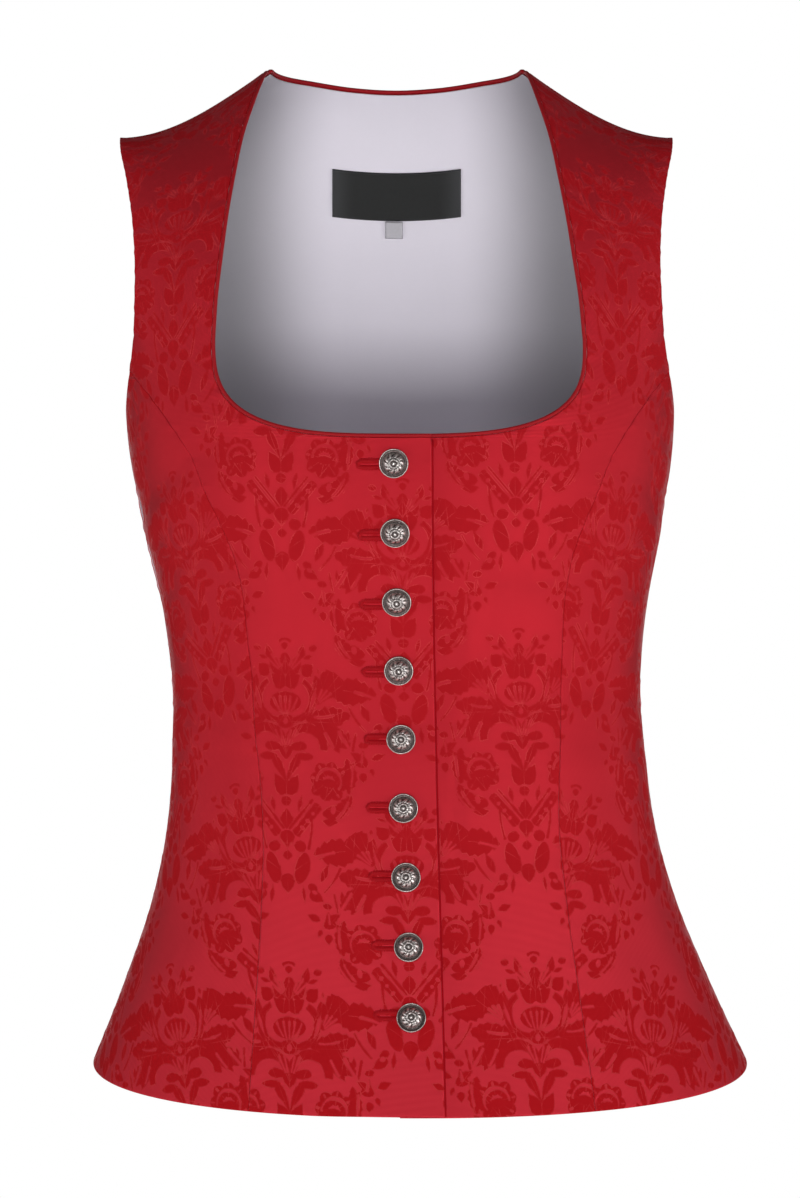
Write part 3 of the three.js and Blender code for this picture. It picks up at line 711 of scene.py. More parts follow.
# The damask's half motif, mirrored on its axis: a petal's outline, its root across and down from the
# crown, its direction (0 points away from the axis, 90 down the cloth), its length, width and bend.
REPEAT_ACROSS = 132.5
REPEAT_DOWN = 176.0
FIGURE = (
    # crown
    ("oval", 0, 0.9, 90, 3.6, 8.0, 0),
    ("drop", 8.6, 12.6, -76, 9.6, 5.2, 0),
    ("oval", 13.8, 7.0, -12, 5.0, 4.0, 0),
    ("leaf", 10.0, 12.6, -18, 7.4, 2.6, 0),
    ("drop", 1.6, 20.4, -48, 13.0, 9.6, 0.12),
    ("drop", 10.0, 21.6, -46, 9.6, 8.4, 0),
    ("leaf", 19.4, 20.8, -98, 4.4, 2.0, 0),
    # lily cup
    ("plume", 0, 27.6, -90, 19.0, 7.6, 0),
    ("drop", 0, 27.2, -30, 11.6, 8.6, 0.25),
    # bowl
    ("oval", -9.4, 36.2, 0, 18.8, 12.6, 0),
    # fan flower
    ("fan", 17.8, 36.6, -50, 20.5, 17.5, 0),
    ("leaf", 20.0, 34.0, -98, 13.5, 7.0, 0.1),
    # neck under the bowl
    ("oval", -5.6, 46.4, 0, 11.2, 8.6, 0),
    # great leaf
    ("ragged", 11.0, 45.4, -3, 26.5, 13.2, 0.1),
    ("ragged", 16.6, 46.4, 38, 24.5, 12.4, 0.12),
    ("leaf", 22.0, 49.0, 62, 18.0, 6.6, 0.12),
    # fleur
    ("leaf", 0, 54.6, 90, 14.0, 9.0, 0),
    ("drop", 12.4, 60.4, 184, 13.6, 6.0, 0.3),
    # drooping arms and the horned heart
    ("plume", 0.4, 79, -66, 15.5, 5.6, -0.12),
    ("oval", 4.6, 65.6, 2, 11.4, 4.8, 0),
    ("drop", 0.0, 86.5, -46, 13.6, 8.6, 0.45),
    ("oval", -4.6, 82.6, 0, 9.2, 8.2, 0),
    # rose
    ("oval", 27.3, 79.8, 12, 8.1, 8.0, 0),
    ("oval", 26.0, 81.7, 57, 8.7, 8.0, 0),
    ("oval", 23.8, 82.1, 102, 8.1, 8.0, 0),
    ("oval", 21.9, 80.8, 147, 8.7, 8.0, 0),
    ("oval", 21.5, 78.6, 192, 8.1, 8.0, 0),
    ("oval", 22.8, 76.7, 237, 8.7, 8.0, 0),
    ("oval", 25.0, 76.3, 282, 8.1, 8.0, 0),
    ("oval", 26.9, 77.6, 327, 8.7, 8.0, 0),
    # leaf behind the rose
    ("ragged", 34.5, 66.0, 78, 20.0, 9.6, -0.3),
    # curl under the rose
    ("oval", 20.6, 97.4, -14, 13.6, 8.0, 0),
    ("leaf", 19.6, 100.4, 16, 10.6, 5.0, 0.4),
    # scroll with stripes
    ("ragged", 37.0, 86.0, 112, 18.0, 9.6, -0.6),
    # below the heart
    ("oval", -3.1, 90.2, 0, 6.2, 6.2, 0),
    ("leaf", 7.0, 97.0, -84, 11.0, 3.0, -0.2),
    ("leaf", 0, 106, -90, 12.0, 8.0, 0),
    # V bands
    ("strap", 1.0, 106.0, -50, 22.5, 1.9, 0),
    ("strap", 4.6, 109.0, -50, 22.5, 5.6, 0),
    ("strap", 12.0, 117.0, -72, 18.0, 1.9, 0.35),
    # drops
    ("drop", 0, 106.0, 90, 11.0, 9.2, 0),
    ("oval", 3.9, 114.4, 10, 7.2, 6.8, 0),
    ("leaf", 0, 116.6, 90, 6.4, 6.0, 0),
    ("oval", 10.4, 118.0, 101, 18.0, 9.0, -0.1),
    ("drop", 0, 129.6, 90, 12.0, 9.0, 0),
    # broad leaf on its stem
    ("ragged", 15.0, 119.0, -8, 26.0, 16.5, -0.2),
    ("strap", 30.4, 125.6, 112, 17.0, 1.6, -0.45),
    ("strap", 26.2, 140.0, 76, 11.0, 1.6, -0.1),
    ("leaf", 24.0, 123.6, 118, 13.0, 4.6, 0.1),
    # garland
    ("oval", 11.6, 135.6, 30, 6.0, 4.6, 0),
    ("drop", 12.4, 139.6, 32, 10.4, 6.4, 0),
    ("leaf", 8.6, 135.0, 84, 11.6, 2.8, 0),
    ("oval", 19.6, 146.6, 10, 5.6, 4.2, 0),
    ("leaf", 10.4, 151.6, 22, 9.4, 4.4, 0),
    ("fan", 22.6, 150.0, 82, 9.4, 8.4, 0),
    ("drop", 22.6, 162.0, 88, 6.4, 5.2, 0),
    ("drop", 18.8, 159.6, 112, 5.4, 3.0, 0),
    ("drop", 27.6, 156.4, 66, 6.0, 3.0, 0),
    ("leaf", 30.6, 138.4, 88, 8.6, 3.2, 0.2),
    ("oval", 34.0, 146.0, 10, 5.4, 4.2, 0),
    ("leaf", 30.0, 151.0, 152, 10.4, 4.6, 0.2),
)
# Light cuts in the figure, dark hearts laid over them, and the cut in those.
VEINS = (
    ("oval", -3.6, 5.6, 0, 7.2, 6.6, 0),
    # fan beside the crown
    ("strap", 3.8, 18.4, -40, 9.4, 0.9, 0.1),
    ("strap", 3.2, 17.6, -54, 9.6, 0.9, 0.1),
    ("strap", 2.6, 16.8, -68, 8.0, 0.9, 0.1),
    # bowl
    ("strap", 0.0, 42.4, -90, 10.0, 0.8, 0),
    ("strap", 1.4, 42.0, -72, 9.6, 0.8, 0.25),
    ("strap", 3.0, 41.4, -54, 9.0, 0.8, 0.3),
    ("oval", -1.5, 46.8, 0, 3.0, 3.0, 0),
    # fan flower and great leaf
    ("leaf", 13.6, 41.6, -66, 15.0, 1.8, 0.25),
    ("strap", 19.4, 36.4, -38, 9.6, 1.0, 0),
    ("strap", 19.2, 35.6, -52, 8.6, 1.0, 0),
    ("strap", 19.0, 34.6, -68, 6.6, 1.0, 0),
    ("strap", 16.0, 44.0, 8, 12.0, 0.9, 0.5),
    ("strap", 30.0, 51.0, 62, 13.0, 1.5, 0.15),
    ("strap", 22.6, 52.0, 66, 10.5, 1.3, 0.15),
    # fleur
    ("strap", 0.9, 60.0, -78, 9.6, 0.9, 0),
    ("strap", 2.0, 60.2, -66, 10.0, 0.9, 0),
    # rose
    ("strap", 31.3, 74.7, -33, 2.4, 0.4, 0),
    ("strap", 26.1, 71.2, -78, 2.4, 0.4, 0),
    ("strap", 19.9, 72.3, -123, 2.4, 0.4, 0),
    ("strap", 16.4, 77.5, -168, 2.4, 0.4, 0),
    ("strap", 28.9, 86.1, 57, 2.4, 0.4, 0),
    ("strap", 17.5, 83.7, 147, 2.4, 0.4, 0),
    ("strap", 37.6, 70.0, 88, 12.0, 0.9, -0.2),
    ("oval", 25.2, 94.4, 10, 3.0, 4.2, 0),
    ("strap", 35.4, 89.5, 112, 12.0, 0.9, -0.45),
    ("strap", 38.4, 90.0, 112, 12.0, 0.9, -0.45),
    ("oval", 8.3, 105.6, -51, 2.2, 2.0, 0),
    ("oval", 11.4, 101.7, -51, 2.2, 2.0, 0),
    ("oval", 14.5, 97.8, -51, 2.2, 2.0, 0),
    # broad leaf
    ("strap", 15.4, 121.4, -24, 12.6, 1.3, -0.25),
    ("oval", 13.8, 138.8, 30, 3.4, 2.0, 0),
)
HEARTS = (("drop", 0, 3.4, 90, 5.2, 4.6, 0), ("oval", 19.6, 79.6, 8, 9.6, 5.6, 0))
HEART_VEINS = (("strap", 23.0, 150.6, 84, 6.4, 0.9, 0),)
# The scroll round the bowl, the arch under it and the rose's ring: centre, radius, half width, angles.
SCROLLS = ((4.2, 34.4, 11.6, 2.1, -62, 118), (11.4, 60.4, 10.4, 2.7, -178, 14))
ROSE_RING = (24.4, 79.2, 6.9, 0.5, -190, 40)
SCROLL_SPREAD = 0.3
SCROLL_TAPER = 0.35  # what a scroll's half width loses per radian away from its middle
WRAP_TOP = 16  # a petal rooted this near a repeat's top or foot also shows in the next repeat
WRAP_FOOT = 30
EDGE_OFFSET = 0.4  # keeps the thin ends and axes of the petals from showing as lines
EDGE_SOFTNESS = 0.3
OUTLINE_INSET = 0.25
OUTLINE_EDGES = (0.1, 0.45)


def petal_images(petals):
    """The petals that show in a quarter of the repeat: their own and those of the next column over."""
    half = REPEAT_ACROSS / 4
    for petal in petals:
        kind, across, down, angle, length, width, bend = petal
        tip = across + length * math.cos(math.radians(angle))
        images = [petal] if min(across, tip) - width < half else []
        if max(across, tip) + width > half:
            beside = down + (REPEAT_DOWN / 2 if down < REPEAT_DOWN / 2 else -REPEAT_DOWN / 2)
            images.append((kind, 2 * half - across, beside, 180 - angle, length, width, -bend))
        for image in images:
            yield image
            foot = image[2]
            if foot < WRAP_TOP:
                yield (*image[:2], foot + REPEAT_DOWN, *image[3:])
            if foot > REPEAT_DOWN - WRAP_FOOT:
                yield (*image[:2], foot - REPEAT_DOWN, *image[3:])


def add_petal(graph, place, petal):
    """How far a place lies from a petal, in millimetres: below -EDGE_OFFSET it is inside."""
    kind, across, down, angle, length, width, bend = petal
    turned = math.radians(angle)
    run = np.array([math.cos(turned), math.sin(turned)])
    rise = np.array([-math.sin(turned), math.cos(turned)])
    root = np.array([across, down])
    along = graph.vector("DOT_PRODUCT", place, (*(run / length), -run @ root / length))
    aside = graph.vector("DOT_PRODUCT", place, (*rise, -rise @ root))
    if bend:
        square = graph.math("MULTIPLY", along, along)
        aside = graph.math("MULTIPLY_ADD", square, bend * length / 2, aside)
    shape = graph.profile(along, PROFILES[kind])
    return graph.math("MULTIPLY_ADD", shape, -(width / 2 + EDGE_OFFSET), graph.math("ABSOLUTE", aside))


def lowest(graph, place, petals):
    """The distance to the nearest of these petals."""
    found = None
    for petal in petal_images(petals):
        distance = add_petal(graph, place, petal)
        found = distance if found is None else graph.math("MINIMUM", found, distance)
    return found


def outside(graph, place, petals):
    """The same for what lies outside all of these petals, which cuts them out of the figure."""
    return graph.math("MULTIPLY_ADD", lowest(graph, place, petals), -1.0, -2 * EDGE_OFFSET)


def add_scroll(graph, place, scroll):
    across, down, radius, half_width, start, end = scroll
    offset = graph.vector("SUBTRACT", place, (across, down, 1.0))
    parts = graph.split(offset)
    angle = graph.math("ARCTAN2", parts[1], parts[0])
    middle, half = math.radians((start + end) / 2), math.radians((end - start) / 2)
    swing = graph.math("ABSOLUTE", graph.math("SUBTRACT", angle, middle))
    past = graph.math("MULTIPLY", graph.math("SUBTRACT", swing, half), radius)
    ring = graph.math("ABSOLUTE", graph.math("SUBTRACT", graph.vector("LENGTH", offset), radius))
    width = graph.math("MULTIPLY_ADD", swing, -SCROLL_TAPER, half_width + SCROLL_SPREAD + EDGE_OFFSET)
    return graph.math("MAXIMUM", graph.math("SUBTRACT", ring, width), past)


def damask_figure(graph, across, down):
    """The shares of figure and of its outline, from 0 on the ground to 1, at a place on the cloth."""
    half = REPEAT_ACROSS / 4
    beside = graph.math("GREATER_THAN", graph.math("PINGPONG", across, 2 * half), half)
    folded = graph.math("PINGPONG", across, half)
    shifted = graph.math("MULTIPLY_ADD", beside, REPEAT_DOWN / 2, down)
    place = graph.xyz(folded, graph.math("FLOORED_MODULO", shifted, REPEAT_DOWN), 1.0)
    figure = lowest(graph, place, FIGURE)
    for scroll in SCROLLS:
        figure = graph.math("MINIMUM", figure, add_scroll(graph, place, scroll))
    ring = graph.math("MULTIPLY_ADD", add_scroll(graph, place, ROSE_RING), -1.0, -2 * EDGE_OFFSET)
    figure = graph.math("MAXIMUM", figure, graph.math("MAXIMUM", outside(graph, place, VEINS), ring))
    figure = graph.math("MINIMUM", figure, lowest(graph, place, HEARTS))
    figure = graph.math("MAXIMUM", figure, outside(graph, place, HEART_VEINS))
    outline = graph.math("ABSOLUTE", graph.math("ADD", figure, EDGE_OFFSET + OUTLINE_INSET))
    share = graph.span(figure, -EDGE_OFFSET - EDGE_SOFTNESS, -EDGE_OFFSET + EDGE_SOFTNESS, 1.0, 0.0)
    return share, graph.span(outline, *OUTLINE_EDGES, 1.0, 0.0)


SATIN_SHINE = 0.03
# The colour of the painted highlight along the figure's outlines.
OUTLINE_HIGHLIGHT_COLOR = (0.62, 0.045, 0.055, 1)
PAINTED_HEM_LIGHT_HEIGHTS = (-0.54, -0.34)  # in metres: between these heights the painted light towards the hem fades out
WARP_SPACING = 0.55
WEFT_SPACING = 0.6
TWIST_SPACING = 0.9  # between the piping's slanting ribs


def ribs(graph, place, spacing):
    return graph.math("SINE", graph.math("MULTIPLY", place, 2 * math.pi / spacing))


def weave_height(graph, across, down):
    """Fine ribs of the weave, along the warp and across it."""
    return graph.math("ADD", ribs(graph, across, WARP_SPACING), ribs(graph, down, WEFT_SPACING))


def thread_noise(graph, across, down, fine, coarse):
    """Unevenness drawn out along the warp."""
    place = graph.xyz(graph.math("MULTIPLY", across, fine), graph.math("MULTIPLY", down, coarse))
    return graph.noise(place, 1.0)


def damask_material():
    graph = Graph("damask")
    across, down, flat = graph.cloth_place()
    # The weave steps the outlines a little from thread to thread.
    nudge = graph.math("MULTIPLY_ADD", graph.noise(flat, 1.4, 1.0), 0.9, -0.45)
    nudged = [graph.math("ADD", place, nudge) for place in (across, down)]
    figure, outline = damask_figure(graph, *nudged)
    threads = thread_noise(graph, across, down, 4.0, 0.8)
    cloud = graph.noise(flat, 0.03, 3.0)
    ground = graph.mix(cloud, (0.535, 0.0190, 0.0305, 1), (0.485, 0.0155, 0.0255, 1))
    ground = graph.mix(graph.math("MULTIPLY", threads, 0.5), ground, (0.56, 0.0245, 0.0375, 1))
    motif = graph.mix(threads, (0.43, 0.0045, 0.0075, 1), (0.395, 0.003, 0.0055, 1))
    # Painted light: towards the flare of the hem the ground is painted paler and the figure stands out
    # more, as if the flare caught more light.
    height = graph.split(graph.node("NewGeometry").outputs["Position"])[2]
    strength = graph.span(height, *PAINTED_HEM_LIGHT_HEIGHTS, 0.88, 0.66)
    painted_hem_light = graph.span(height, *PAINTED_HEM_LIGHT_HEIGHTS, 0.55, 0.0)
    ground = graph.mix(painted_hem_light, ground, (0.66, 0.034, 0.053, 1))
    cloth = graph.mix(graph.math("MULTIPLY", figure, strength), ground, motif)
    # Painted highlight: along parts of the outlines the floats of the ground thread are painted a
    # brighter red, where they would catch the light.
    caught = graph.span(graph.noise(flat, 0.11, 3.0), 0.42, 0.62, 0.1, 0.75)
    return graph.surface(
        Base_Color=graph.mix(graph.math("MULTIPLY", outline, caught), cloth, OUTLINE_HIGHLIGHT_COLOR),
        Metallic=graph.math("MULTIPLY_ADD", figure, -0.45, 0.5),
        Roughness=graph.math("MULTIPLY_ADD", figure, 0.15, 0.45),
        Specular_IOR_Level=SATIN_SHINE,
        Normal=graph.bump(weave_height(graph, across, down), 0.05, 0.6),
    )


def lining_material():
    graph = Graph("lining")
    across, down, flat = graph.cloth_place()
    threads = thread_noise(graph, across, down, 2.0, 0.6)
    color = graph.mix(graph.noise(flat, 0.02, 3.0), (0.88, 0.83, 0.92, 1), (0.82, 0.78, 0.86, 1))
    color = graph.mix(graph.math("MULTIPLY", threads, 0.4), color, (0.90, 0.87, 0.94, 1))
    # Painted shade: the lining is painted darker and greyer towards the sides.
    aside = graph.span(graph.math("ABSOLUTE", across), 34, 104)
    color = graph.mix(aside, color, (0.36, 0.345, 0.375, 1))
    normal = graph.bump(weave_height(graph, across, down), 0.04, 0.5)
    return graph.surface(Base_Color=color, Roughness=0.62, Normal=normal)


def piping_material():
    graph = Graph("piping")
    across, down, flat = graph.cloth_place()
    threads = ribs(graph, graph.math("ADD", across, down), TWIST_SPACING)
    color = graph.mix(graph.noise(flat, 0.5), (0.42, 0.007, 0.013, 1), (0.33, 0.004, 0.009, 1))
    normal = graph.bump(threads, 0.06, 0.6)
    return graph.surface(Base_Color=color, Roughness=0.6, Specular_IOR_Level=0.2, Normal=normal)


# Painted shadow: the facing's dark red stands in for the shadow under the lap's edge.
def facing_shadow_material():
    color = (0.33, 0.003, 0.008, 1)
    return Graph("facing").surface(Base_Color=color, Roughness=0.85, Specular_IOR_Level=0.05)


def thread_material():
    graph = Graph("buttonhole_thread")
    flat = graph.cloth_place()[2]
    color = graph.mix(graph.noise(flat, 1.2), (0.36, 0.001, 0.005, 1), (0.50, 0.004, 0.012, 1))
    return graph.surface(Base_Color=color, Roughness=0.55, Specular_IOR_Level=0.15)


def label_material():
    graph = Graph("label")
    across, down, flat = graph.cloth_place()
    color = graph.mix(graph.noise(flat, 0.4, 3.0), (0.006, 0.007, 0.006, 1), (0.012, 0.013, 0.012, 1))
    # The label is painted paler and greyer towards its two ends.
    worn = graph.span(graph.math("ABSOLUTE", across), 24, 42)
    color = graph.mix(worn, color, (0.045, 0.046, 0.048, 1))
    normal = graph.bump(weave_height(graph, across, down), 0.08, 0.8)
    return graph.surface(Base_Color=color, Roughness=0.5, Normal=normal)


def tab_material():
    graph = Graph("size_tab")
    across, down, flat = graph.cloth_place()
    color = graph.mix(graph.noise(flat, 0.6), (0.62, 0.60, 0.64, 1), (0.5, 0.49, 0.52, 1))
    normal = graph.bump(weave_height(graph, across, down), 0.06, 0.6)
    return graph.surface(Base_Color=color, Roughness=0.6, Normal=normal)


def silver_material():
    graph = Graph("old_silver")
    relief = graph.node("Attribute", attribute_name="relief").outputs["Fac"]
    place = graph.node("NewGeometry").outputs["Position"]
    worn = graph.math("SUBTRACT", relief, 0.45)
    worn = graph.math("MULTIPLY_ADD", graph.noise(place, 1500.0, 3.0), 0.9, worn)
    shine = graph.span(worn, 0.1, 0.88)
    color = graph.mix(shine, (0.075, 0.055, 0.052, 1), (0.95, 0.89, 0.86, 1))
    roughness = graph.math("MULTIPLY_ADD", shine, -0.15, 0.48)
    return graph.surface(Base_Color=color, Metallic=1.0, Roughness=roughness)


def add_cloth(damask, lining):
    faces = (damask, lining)
    for side, mirrored in (("left", False), ("right", True)):
        lift = lap_lift if mirrored else None
        cloth_panel(f"front_{side}", FRONT, front_cells, ALL_ROWS, faces, mirrored, lift)
        for face, place, table in ((FRONT, "front", FRONT_SEAM), (BACK, "back", BACK_SEAM)):
            cells = side_cells(face, table)
            cloth_panel(f"side_{place}_{side}", face, cells, SEAM_ROWS, faces, mirrored)
    cloth_panel("back", BACK, back_cells, ALL_ROWS, (damask, damask))
    depth = WALL + LINING_GAP
    skin = (lining, lining)
    cloth_panel("lining_back", BACK, back_cells, ALL_ROWS, skin, depth=depth, wall=LINING_WALL)


# Each piece as it was cut, with 10 mm of seam at every edge: width and length in metres, area in square
# metres, how it is held and what it hangs from or lies on.
CUTS = {
    "cloth_front_left": (0.213, 0.650, 0.0700, "hung", ("cloth_back",)),
    "cloth_front_right": (0.213, 0.650, 0.0700, "hung", ("cloth_back",)),
    "cloth_side_front_left": (0.185, 0.423, 0.0535, "hung", ("cloth_front_left",)),
    "cloth_side_front_right": (0.185, 0.423, 0.0535, "hung", ("cloth_front_right",)),
    "cloth_side_back_left": (0.194, 0.424, 0.0540, "hung", ("cloth_back",)),
    "cloth_side_back_right": (0.194, 0.424, 0.0540, "hung", ("cloth_back",)),
    "cloth_back": (0.369, 0.645, 0.1463, "hung", ()),
    "cloth_lining_back": (0.369, 0.645, 0.1463, "hung", ("cloth_back",)),
    "woven_label": (0.089, 0.028, 0.00249, "laid", ("cloth_lining_back",)),
    "blank_size_tab": (0.0105, 0.012, 0.000126, "laid", ("cloth_lining_back",)),
}


def declare_cuts():
    for name, (width, length, area, held, under) in CUTS.items():
        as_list(under)


PIPING_RADIUS = 1.1
PIPING_SIDES = 12
BACK_NECK_SHARES = (0.31, 0.69)
BACK_NECK_STEPS = 60
LAP_FACING_RADIUS = 0.75
LAP_FACING_LIFT = 0.9
LAP_FACING_OUT = 0.3
LAP_FACING_SIDES = 8
LAP_FACING_ENDS = (0.02, 0.05)  # how far inside the closing's two ends it stays, in rows
EDGE_STEPS = 6  # cuts of a cord for each row of the solids


def front_edge(row, flip, lift):
    """Points and normals along a front's inner edge. lift says how far it stands off the form."""
    point, normal = form_place(FRONT, *front_inner(row))
    height = crease_height(FRONT, flip * point[:, 0], point[:, 2]) + lift(point[:, 0])
    point += normal * height[:, None]
    point[:, 0] = flip * point[:, 0] + lean_at(point[:, 2])
    normal[:, 0] *= flip
    return point, normal


def add_cord(place, edge, normal, outward, material):
    along = unit(np.gradient(edge, axis=0))
    aside = unit(np.cross(along, normal)) * outward
    path = edge + aside * PIPING_RADIUS - normal * WALL / 2
    points, faces = tube(path, aside, normal * outward, PIPING_RADIUS, PIPING_SIDES)
    length = np.concatenate([[0], np.cumsum(np.linalg.norm(np.diff(path, axis=0), axis=1))])
    around = 2 * math.pi * PIPING_RADIUS * np.arange(PIPING_SIDES) / PIPING_SIDES
    uv = np.stack(np.meshgrid(around, length), -1).reshape(-1, 2)
    uv = np.concatenate([uv, [[0, 0], [0, length[-1]]]])
    cord = mesh_piece(f"cord_{place}", points, faces, (material,), uv)
    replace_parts(cord, f"piping_{place}")


def add_piping(material):
    row = np.linspace(CLOSING_ROWS, ALL_ROWS, (ALL_ROWS - CLOSING_ROWS) * EDGE_STEPS + 1)
    for side, flip, lift in (("left", 1, np.zeros_like), ("right", -1, lap_lift)):
        add_cord(side, *front_edge(row, flip, lift), -flip, material)
    t = np.linspace(*BACK_NECK_SHARES, BACK_NECK_STEPS)
    place = back_cells(np.full(t.shape, float(ALL_ROWS)), t)
    add_cord("back", *form_place(BACK, *place), 1, material)


def add_lap_facing_shadow(material):
    """The folded facing under the lap's edge: a thin cord, dark red to paint the shadow that the lap
    casts there as a dark line.
    """
    foot, top = LAP_FACING_ENDS
    row = np.linspace(foot, CLOSING_ROWS - top, CLOSING_ROWS * EDGE_STEPS)
    point, normal = front_edge(row, -1, lambda x: LAP_FACING_LIFT)
    point[:, 0] += LAP_FACING_OUT
    aside = unit(np.cross(unit(np.gradient(point, axis=0)), normal))
    points, faces = tube(point, aside, normal, LAP_FACING_RADIUS, LAP_FACING_SIDES)
    mesh_piece("lap_facing_shadow_edge", points, faces, (material,), points[:, [0, 2]])


LABEL_SIZE = (77, 28)
LABEL_TOP = (0, -46)
LABEL_STEPS = (78, 30)
LABEL_BOW = 2.4
LABEL_WALL = 0.7
LABEL_GAP = 0.4
TAB_SIZE = (10.5, 10)
TAB_TOP = (-1.6, LABEL_TOP[1] - LABEL_SIZE[1] - SEAM_GAP)
TAB_STEPS = (14, 14)


def patch_wave(x, z):
    return 0.25 + 0.25 * np.sin(x / 13.0) + 0.15 * np.sin(z / 6.0 + x / 20.0)


def add_patch(name, node, material, top, size, steps):
    """A woven piece on the back's lining, hung from the middle of its top edge."""
    x = top[0] + size[0] * np.linspace(0.5, -0.5, steps[0])[None, :]
    z = top[1] - size[1] * np.linspace(1, 0, steps[1])[:, None]
    x, z = np.broadcast_arrays(x, z - LABEL_BOW * (1 - (2 * x / LABEL_SIZE[0]) ** 2))
    point, normal = surface_spot(BACK, x, z)
    depth = WALL + LINING_GAP + LINING_WALL + LABEL_GAP + patch_wave(x, z)
    outer = point - normal * depth[..., None]
    points, faces, source = shell(outer, outer - normal * LABEL_WALL)
    uv = np.stack([x, -z], -1).reshape(-1, 2)[source]
    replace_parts(mesh_piece(name, points, faces, (material,), uv), node)


def add_labels(label, tab):
    add_patch("woven_label", "label", label, LABEL_TOP, LABEL_SIZE, LABEL_STEPS)
    add_patch("blank_size_tab", "size_tab", tab, TAB_TOP, TAB_SIZE, TAB_STEPS)


BUTTON_COUNT = 9
BUTTON_RINGS = 48
BUTTON_SPOKES = 108
BUTTON_PACE = 0.85  # below 1, the rings lie closer towards the rim
BUTTON_RADIUS = 8.0
BUTTON_HEIGHT = 5.1
# The button's section, from its middle out: a low dome, a dark trough and a thin rim.
BUTTON_PROFILE = (
    (0, 5.1), (2.0, 4.9), (3.6, 4.3), (5.0, 3.2), (5.9, 1.9), (6.2, 1.4), (7.2, 1.5), (7.5, 2.0),
    (7.8, 2.0), (8.0, 0.9),
)
BUTTON_FOOT_RADIUS = 7.2
BUTTON_TIP = 0.2
SIDE_SHADE = 0.4
END_SHADES = (1.0, 0.2)  # of the dome's tip and of the middle of its underside
FILIGREE_RADIUS = 6.0
FILIGREE_FADE = 0.5


def button_centre(number):
    low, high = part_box(f"button_{number}")
    return np.array((low + high) / 2) / MM


def ridge(radius, middle, half_width):
    return np.exp(-(((radius - middle) / half_width) ** 2))


def button_relief(radius, angle):
    """Filigree on the button's face: height over its plain profile, and how bright it is worn."""
    turned = angle + 0.12 * radius
    lobes = np.cos(10 * turned)
    uneven = 0.8 + 0.2 * np.sin(2.3 * angle + 1) * np.cos(5 * angle + radius)
    fine = np.cos(17 * angle - 3.2 * radius) * np.cos(4.1 * radius + 0.6 * np.sin(3 * angle))
    scrolls = ridge(radius, 4.2, 1.25) * (0.76 + 0.24 * lobes) * uneven
    pits = ridge(radius, 4.5, 0.5) * np.clip(-lobes, 0, 1) ** 2
    eyes = ridge(radius, 3.9, 0.28) * np.clip(lobes, 0, 1) ** 8
    wreath = ridge(radius, 2.3, 0.45) * (0.75 + 0.25 * np.cos(6 * turned))
    moat = ridge(radius, 3.05, 0.25) + ridge(radius, 1.4, 0.2)
    stud = ridge(radius, 0.0, 1.0)
    edge = ridge(radius, 5.7, 0.25)
    rim = ridge(radius, 7.65, 0.22)
    height = 0.4 * scrolls + 0.3 * wreath + 0.2 * stud - 0.4 * pits - 0.2 * eyes - 0.2 * moat
    height += 0.14 * fine * ridge(radius, 3.6, 1.7)
    bright = 0.19 + 0.68 * scrolls + 0.42 * wreath + 0.3 * stud + 0.2 * edge + 0.5 * rim
    bright += 0.34 * fine * ridge(radius, 3.6, 1.9)
    trough = ridge(radius, 6.7, 0.5)
    return height, np.clip(bright - 0.6 * pits - 0.4 * eyes - 0.25 * moat - 0.14 * trough, 0, 1)


def add_buttons(material):
    radius = BUTTON_RADIUS * np.linspace(0, 1, BUTTON_RINGS) ** BUTTON_PACE
    angle = 2 * np.pi * np.arange(BUTTON_SPOKES) / BUTTON_SPOKES
    r, a = np.meshgrid(radius[1:], angle, indexing="ij")
    raised, bright = button_relief(r, a)
    fade = np.clip((FILIGREE_RADIUS - r) / FILIGREE_FADE, 0, 1)
    height = np.interp(r, *np.array(BUTTON_PROFILE).T) + raised * fade
    top = np.stack([r * np.cos(a), r * np.sin(a), height], -1)
    foot = BUTTON_FOOT_RADIUS * np.stack([np.cos(angle), np.sin(angle), 0 * angle], -1)[None]
    points, faces = closed_rings(np.concatenate([top, foot]))
    shades = np.concatenate([bright.ravel(), np.full(BUTTON_SPOKES, SIDE_SHADE), END_SHADES])
    points[-2, 2] = BUTTON_HEIGHT + BUTTON_TIP
    for number in range(1, BUTTON_COUNT + 1):
        centre = button_centre(number)
        _, normal = surface_spot(FRONT, centre[0], centre[2], LAP_LIFT, mirrored=True)
        side = unit(np.cross((0, 0, 1.0), normal))
        up = np.cross(normal, side)
        axes = np.stack([side, up, normal])
        placed = centre - normal * BUTTON_HEIGHT / 2 + points @ axes
        button = mesh_piece(f"metal_button_{number}", placed, faces, (material,))
        layer = button.data.attributes.new("relief", "FLOAT", "POINT")
        layer.data.foreach_set("value", shades)
        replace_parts(button, f"button_{number}")


# A worked buttonhole: where it lies beside its button's centre, and its stitches.
HOLE_START = -17.6
HOLE_END = -1.0
STITCH_SPACING = 0.42
STITCH_RADIUS = 0.25
STITCH_SIDES = 5
STITCH_FOOT = 0.3
STITCH_REACH = 3.2
STITCH_ARC = ((0, -0.3), (0.15, 0.25), (0.5, 0.4), (0.85, 0.3), (1, -0.3))
ROUND_STITCHES = 11
ROUND_ANGLES = (105, 255)


